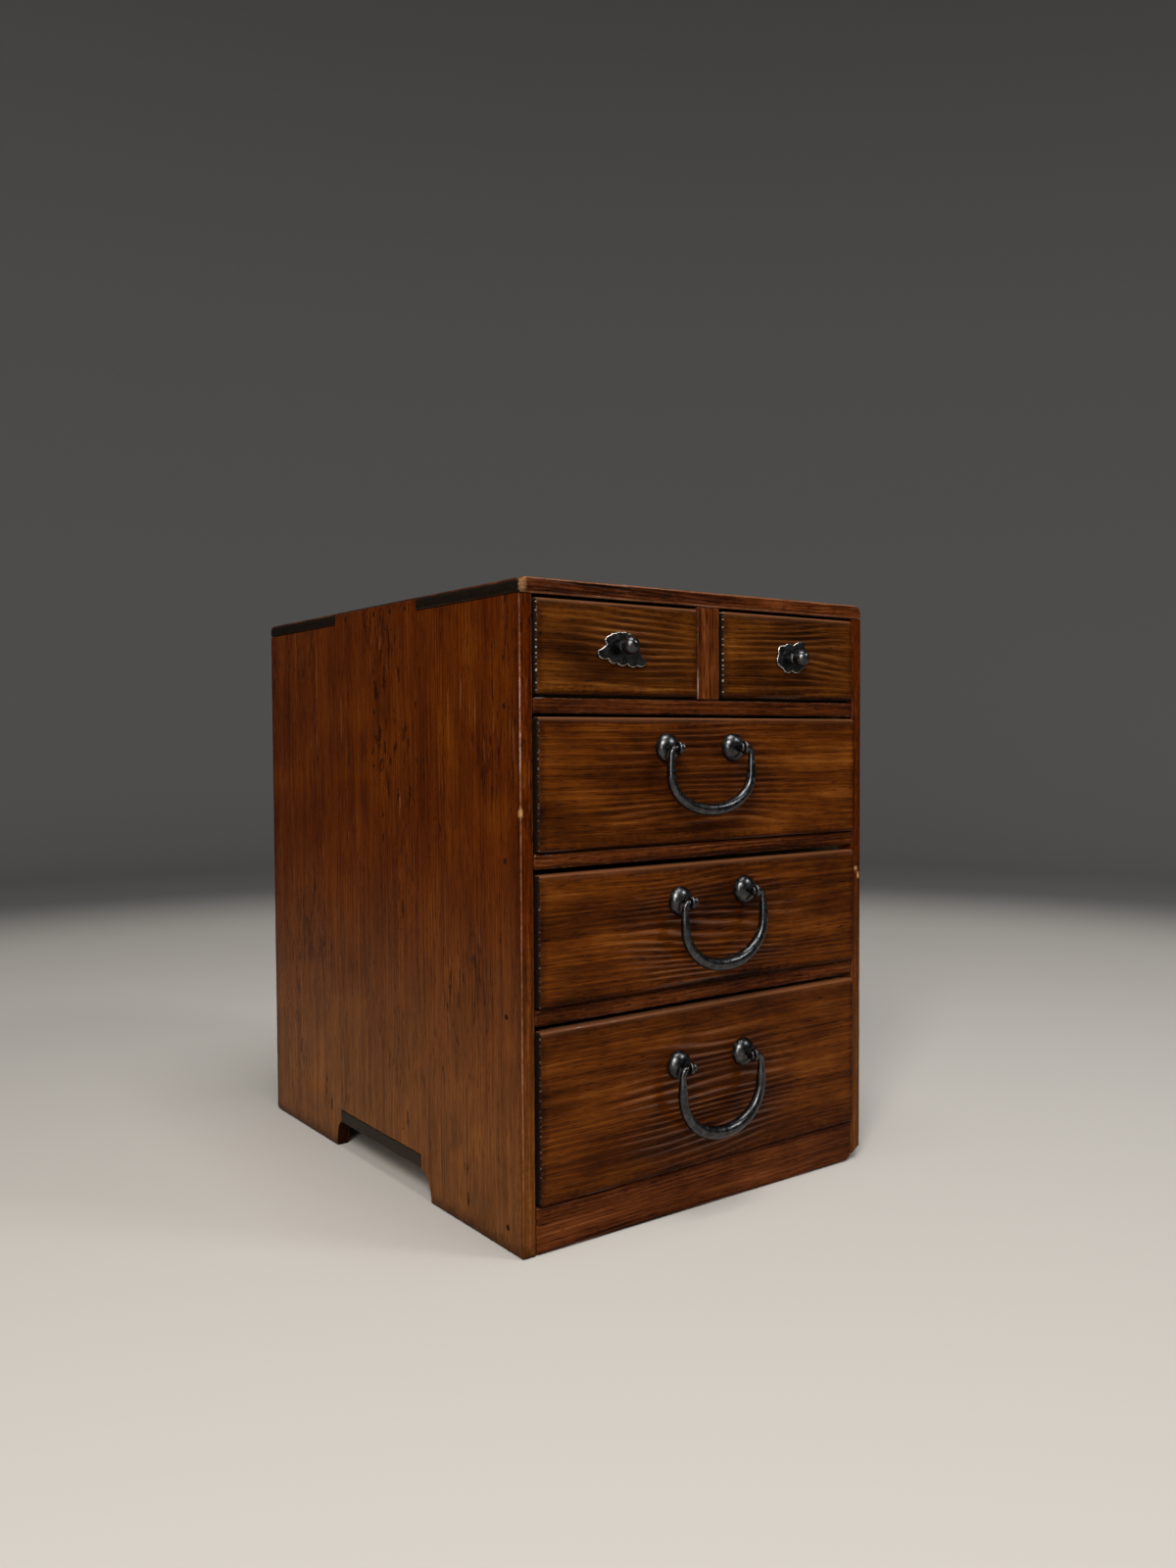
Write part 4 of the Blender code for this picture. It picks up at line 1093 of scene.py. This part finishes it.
def case_peg_places():
    """Pegs through the sides into each cross board, and through the back into the case."""
    places = []
    for side, node in ((-1, "side_panel_left"), (1, "side_panel_right")):
        low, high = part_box(node)
        face = low.x if side < 0 else high.x
        for board in ("plinth_rail", "lower_rail", "middle_rail", "upper_shelf"):
            board_low, board_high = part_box(board)
            level = (board_low.z + board_high.z) / 2
            reach = board_low.y + PEG_BEHIND_FRONT
            places.append(((face - side * PEG_LENGTH, reach, level), (side, 0, 0)))
        shelf_low, shelf_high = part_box("upper_shelf")
        level = (shelf_low.z + shelf_high.z) / 2
        for share in SHELF_PEG_SHARES:
            reach = low.y + (high.y - low.y) * share
            places.append(((face - side * PEG_LENGTH, reach, level), (side, 0, 0)))
        for reach in FINGER_PEGS:
            places.append(((face - side * PEG_LENGTH, reach, high.z - PEG_BELOW_TOP), (side, 0, 0)))
    back_low, back_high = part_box("back_panel")
    face = back_high.y
    for i in range(BACK_PEGS):
        share = (i + 0.5) / BACK_PEGS
        level = back_low.z + (back_high.z - back_low.z) * share
        for across in (back_low.x + BACK_PEG_INSET, back_high.x - BACK_PEG_INSET):
            places.append(((across, face - PEG_LENGTH, level), (0, 1, 0)))
        across = back_low.x + (back_high.x - back_low.x) * share
        places.append(((across, face - PEG_LENGTH, back_high.z - BACK_PEG_INSET), (0, 1, 0)))
    return places


def drawer_peg_places(drawer):
    """Pegs through a drawer's sides into its front and back."""
    places = []
    for side, word in ((-1, "left"), (1, "right")):
        low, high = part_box(f"{drawer}_side_{word}")
        face = low.x - PEG_PROUD if side < 0 else high.x + PEG_PROUD
        for share in DRAWER_PEG_SHARES:
            level = low.z + (high.z - low.z) * share
            for reach in (low.y + DRAWER_PEG_INSET, high.y - DRAWER_PEG_INSET):
                places.append(((face - side * PEG_LENGTH, reach, level), (side, 0, 0)))
    return places


def dress_pegs():
    tool = peg_tool()
    material = peg_wood("peg_wood")
    drive_pegs(tool, "case", case_peg_places(), PEG_RADIUS, PEG_SEED, material)
    for seed, drawer in enumerate(DRAWERS):
        drive_pegs(tool, drawer, drawer_peg_places(drawer), PEG_RADIUS * DRAWER_PEG_SHARE, seed, material)


def set_stage():
    """A pale round floor that coves up into a wall on every side."""
    profile = [(0.0, 0.0), (FLOOR_RADIUS, 0.0)]
    for i in range(1, COVE_STEPS + 1):
        turn = math.pi / 2 * i / COVE_STEPS
        profile.append((FLOOR_RADIUS + COVE_RADIUS * math.sin(turn), COVE_RADIUS * (1 - math.cos(turn))))
    profile.append((FLOOR_RADIUS + COVE_RADIUS, WALL_HEIGHT))
    shape = bmesh.new()
    verts = [shape.verts.new((radius, 0.0, height)) for radius, height in profile]
    edges = [shape.edges.new(pair) for pair in zip(verts, verts[1:])]
    bmesh.ops.spin(
        shape,
        geom=verts + edges,
        cent=(0, 0, 0),
        axis=(0, 0, 1),
        angle=math.tau,
        steps=STAGE_STEPS,
        use_merge=True,
    )
    bmesh.ops.remove_doubles(shape, verts=shape.verts, dist=0.0001)
    mesh = bpy.data.meshes.new("stage_floor")
    shape.to_mesh(mesh)
    shape.free()
    finished_piece("stage_floor", mesh, stage_paint(), STAGE_SHARP_ANGLE)


def add_lamp(name, place, size, power, colour):
    lamp = bpy.data.lights.new(name, "AREA")
    lamp.shape = "RECTANGLE"
    lamp.size, lamp.size_y = size
    lamp.energy = power
    lamp.color = colour
    holder = bpy.data.objects.new(name, lamp)
    bpy.context.scene.collection.objects.link(holder)
    holder.location = place
    holder.rotation_euler = (Vector(LAMP_TARGET) - Vector(place)).to_track_quat("-Z", "Y").to_euler()
    holder.visible_camera = False


def set_lights():
    for name, lamp in LAMPS.items():
        add_lamp(name, *lamp)
    world = bpy.data.worlds.new("soft_room")
    bpy.context.scene.world = world
    world.use_nodes = True
    world.node_tree.nodes["Background"].inputs["Color"].default_value = ROOM_LIGHT


def set_camera():
    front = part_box("side_panel_left")[0].y
    forward = Vector((math.sin(CAMERA_YAW), math.cos(CAMERA_YAW), 0.0))
    right = Vector((math.cos(CAMERA_YAW), -math.sin(CAMERA_YAW), 0.0))
    up = Vector((0.0, 0.0, 1.0))
    look = forward * math.cos(CAMERA_PITCH) - up * math.sin(CAMERA_PITCH)
    level_up = up * math.cos(CAMERA_PITCH) + forward * math.sin(CAMERA_PITCH)
    rolled_right = right * math.cos(CAMERA_ROLL) + level_up * math.sin(CAMERA_ROLL)
    rolled_up = level_up * math.cos(CAMERA_ROLL) - right * math.sin(CAMERA_ROLL)
    turn = Matrix((rolled_right, rolled_up, -look)).transposed().to_4x4()
    data = bpy.data.cameras.new("photo_camera")
    data.sensor_width = SENSOR
    data.lens = FOCAL_PIXELS / PHOTO_HEIGHT_PIXELS * SENSOR
    camera = bpy.data.objects.new("photo_camera", data)
    bpy.context.scene.collection.objects.link(camera)
    place = Vector((CAMERA_ACROSS, front - CAMERA_BEFORE_FRONT, CAMERA_HEIGHT))
    camera.matrix_world = Matrix.Translation(place) @ turn
    bpy.context.scene.camera = camera


bpy.context.scene.view_settings.view_transform = "Standard"
set_camera()
set_stage()
set_lights()
dress_stained_boards()
dress_back()
dress_inner_boards()
dress_iron()
dress_pegs()
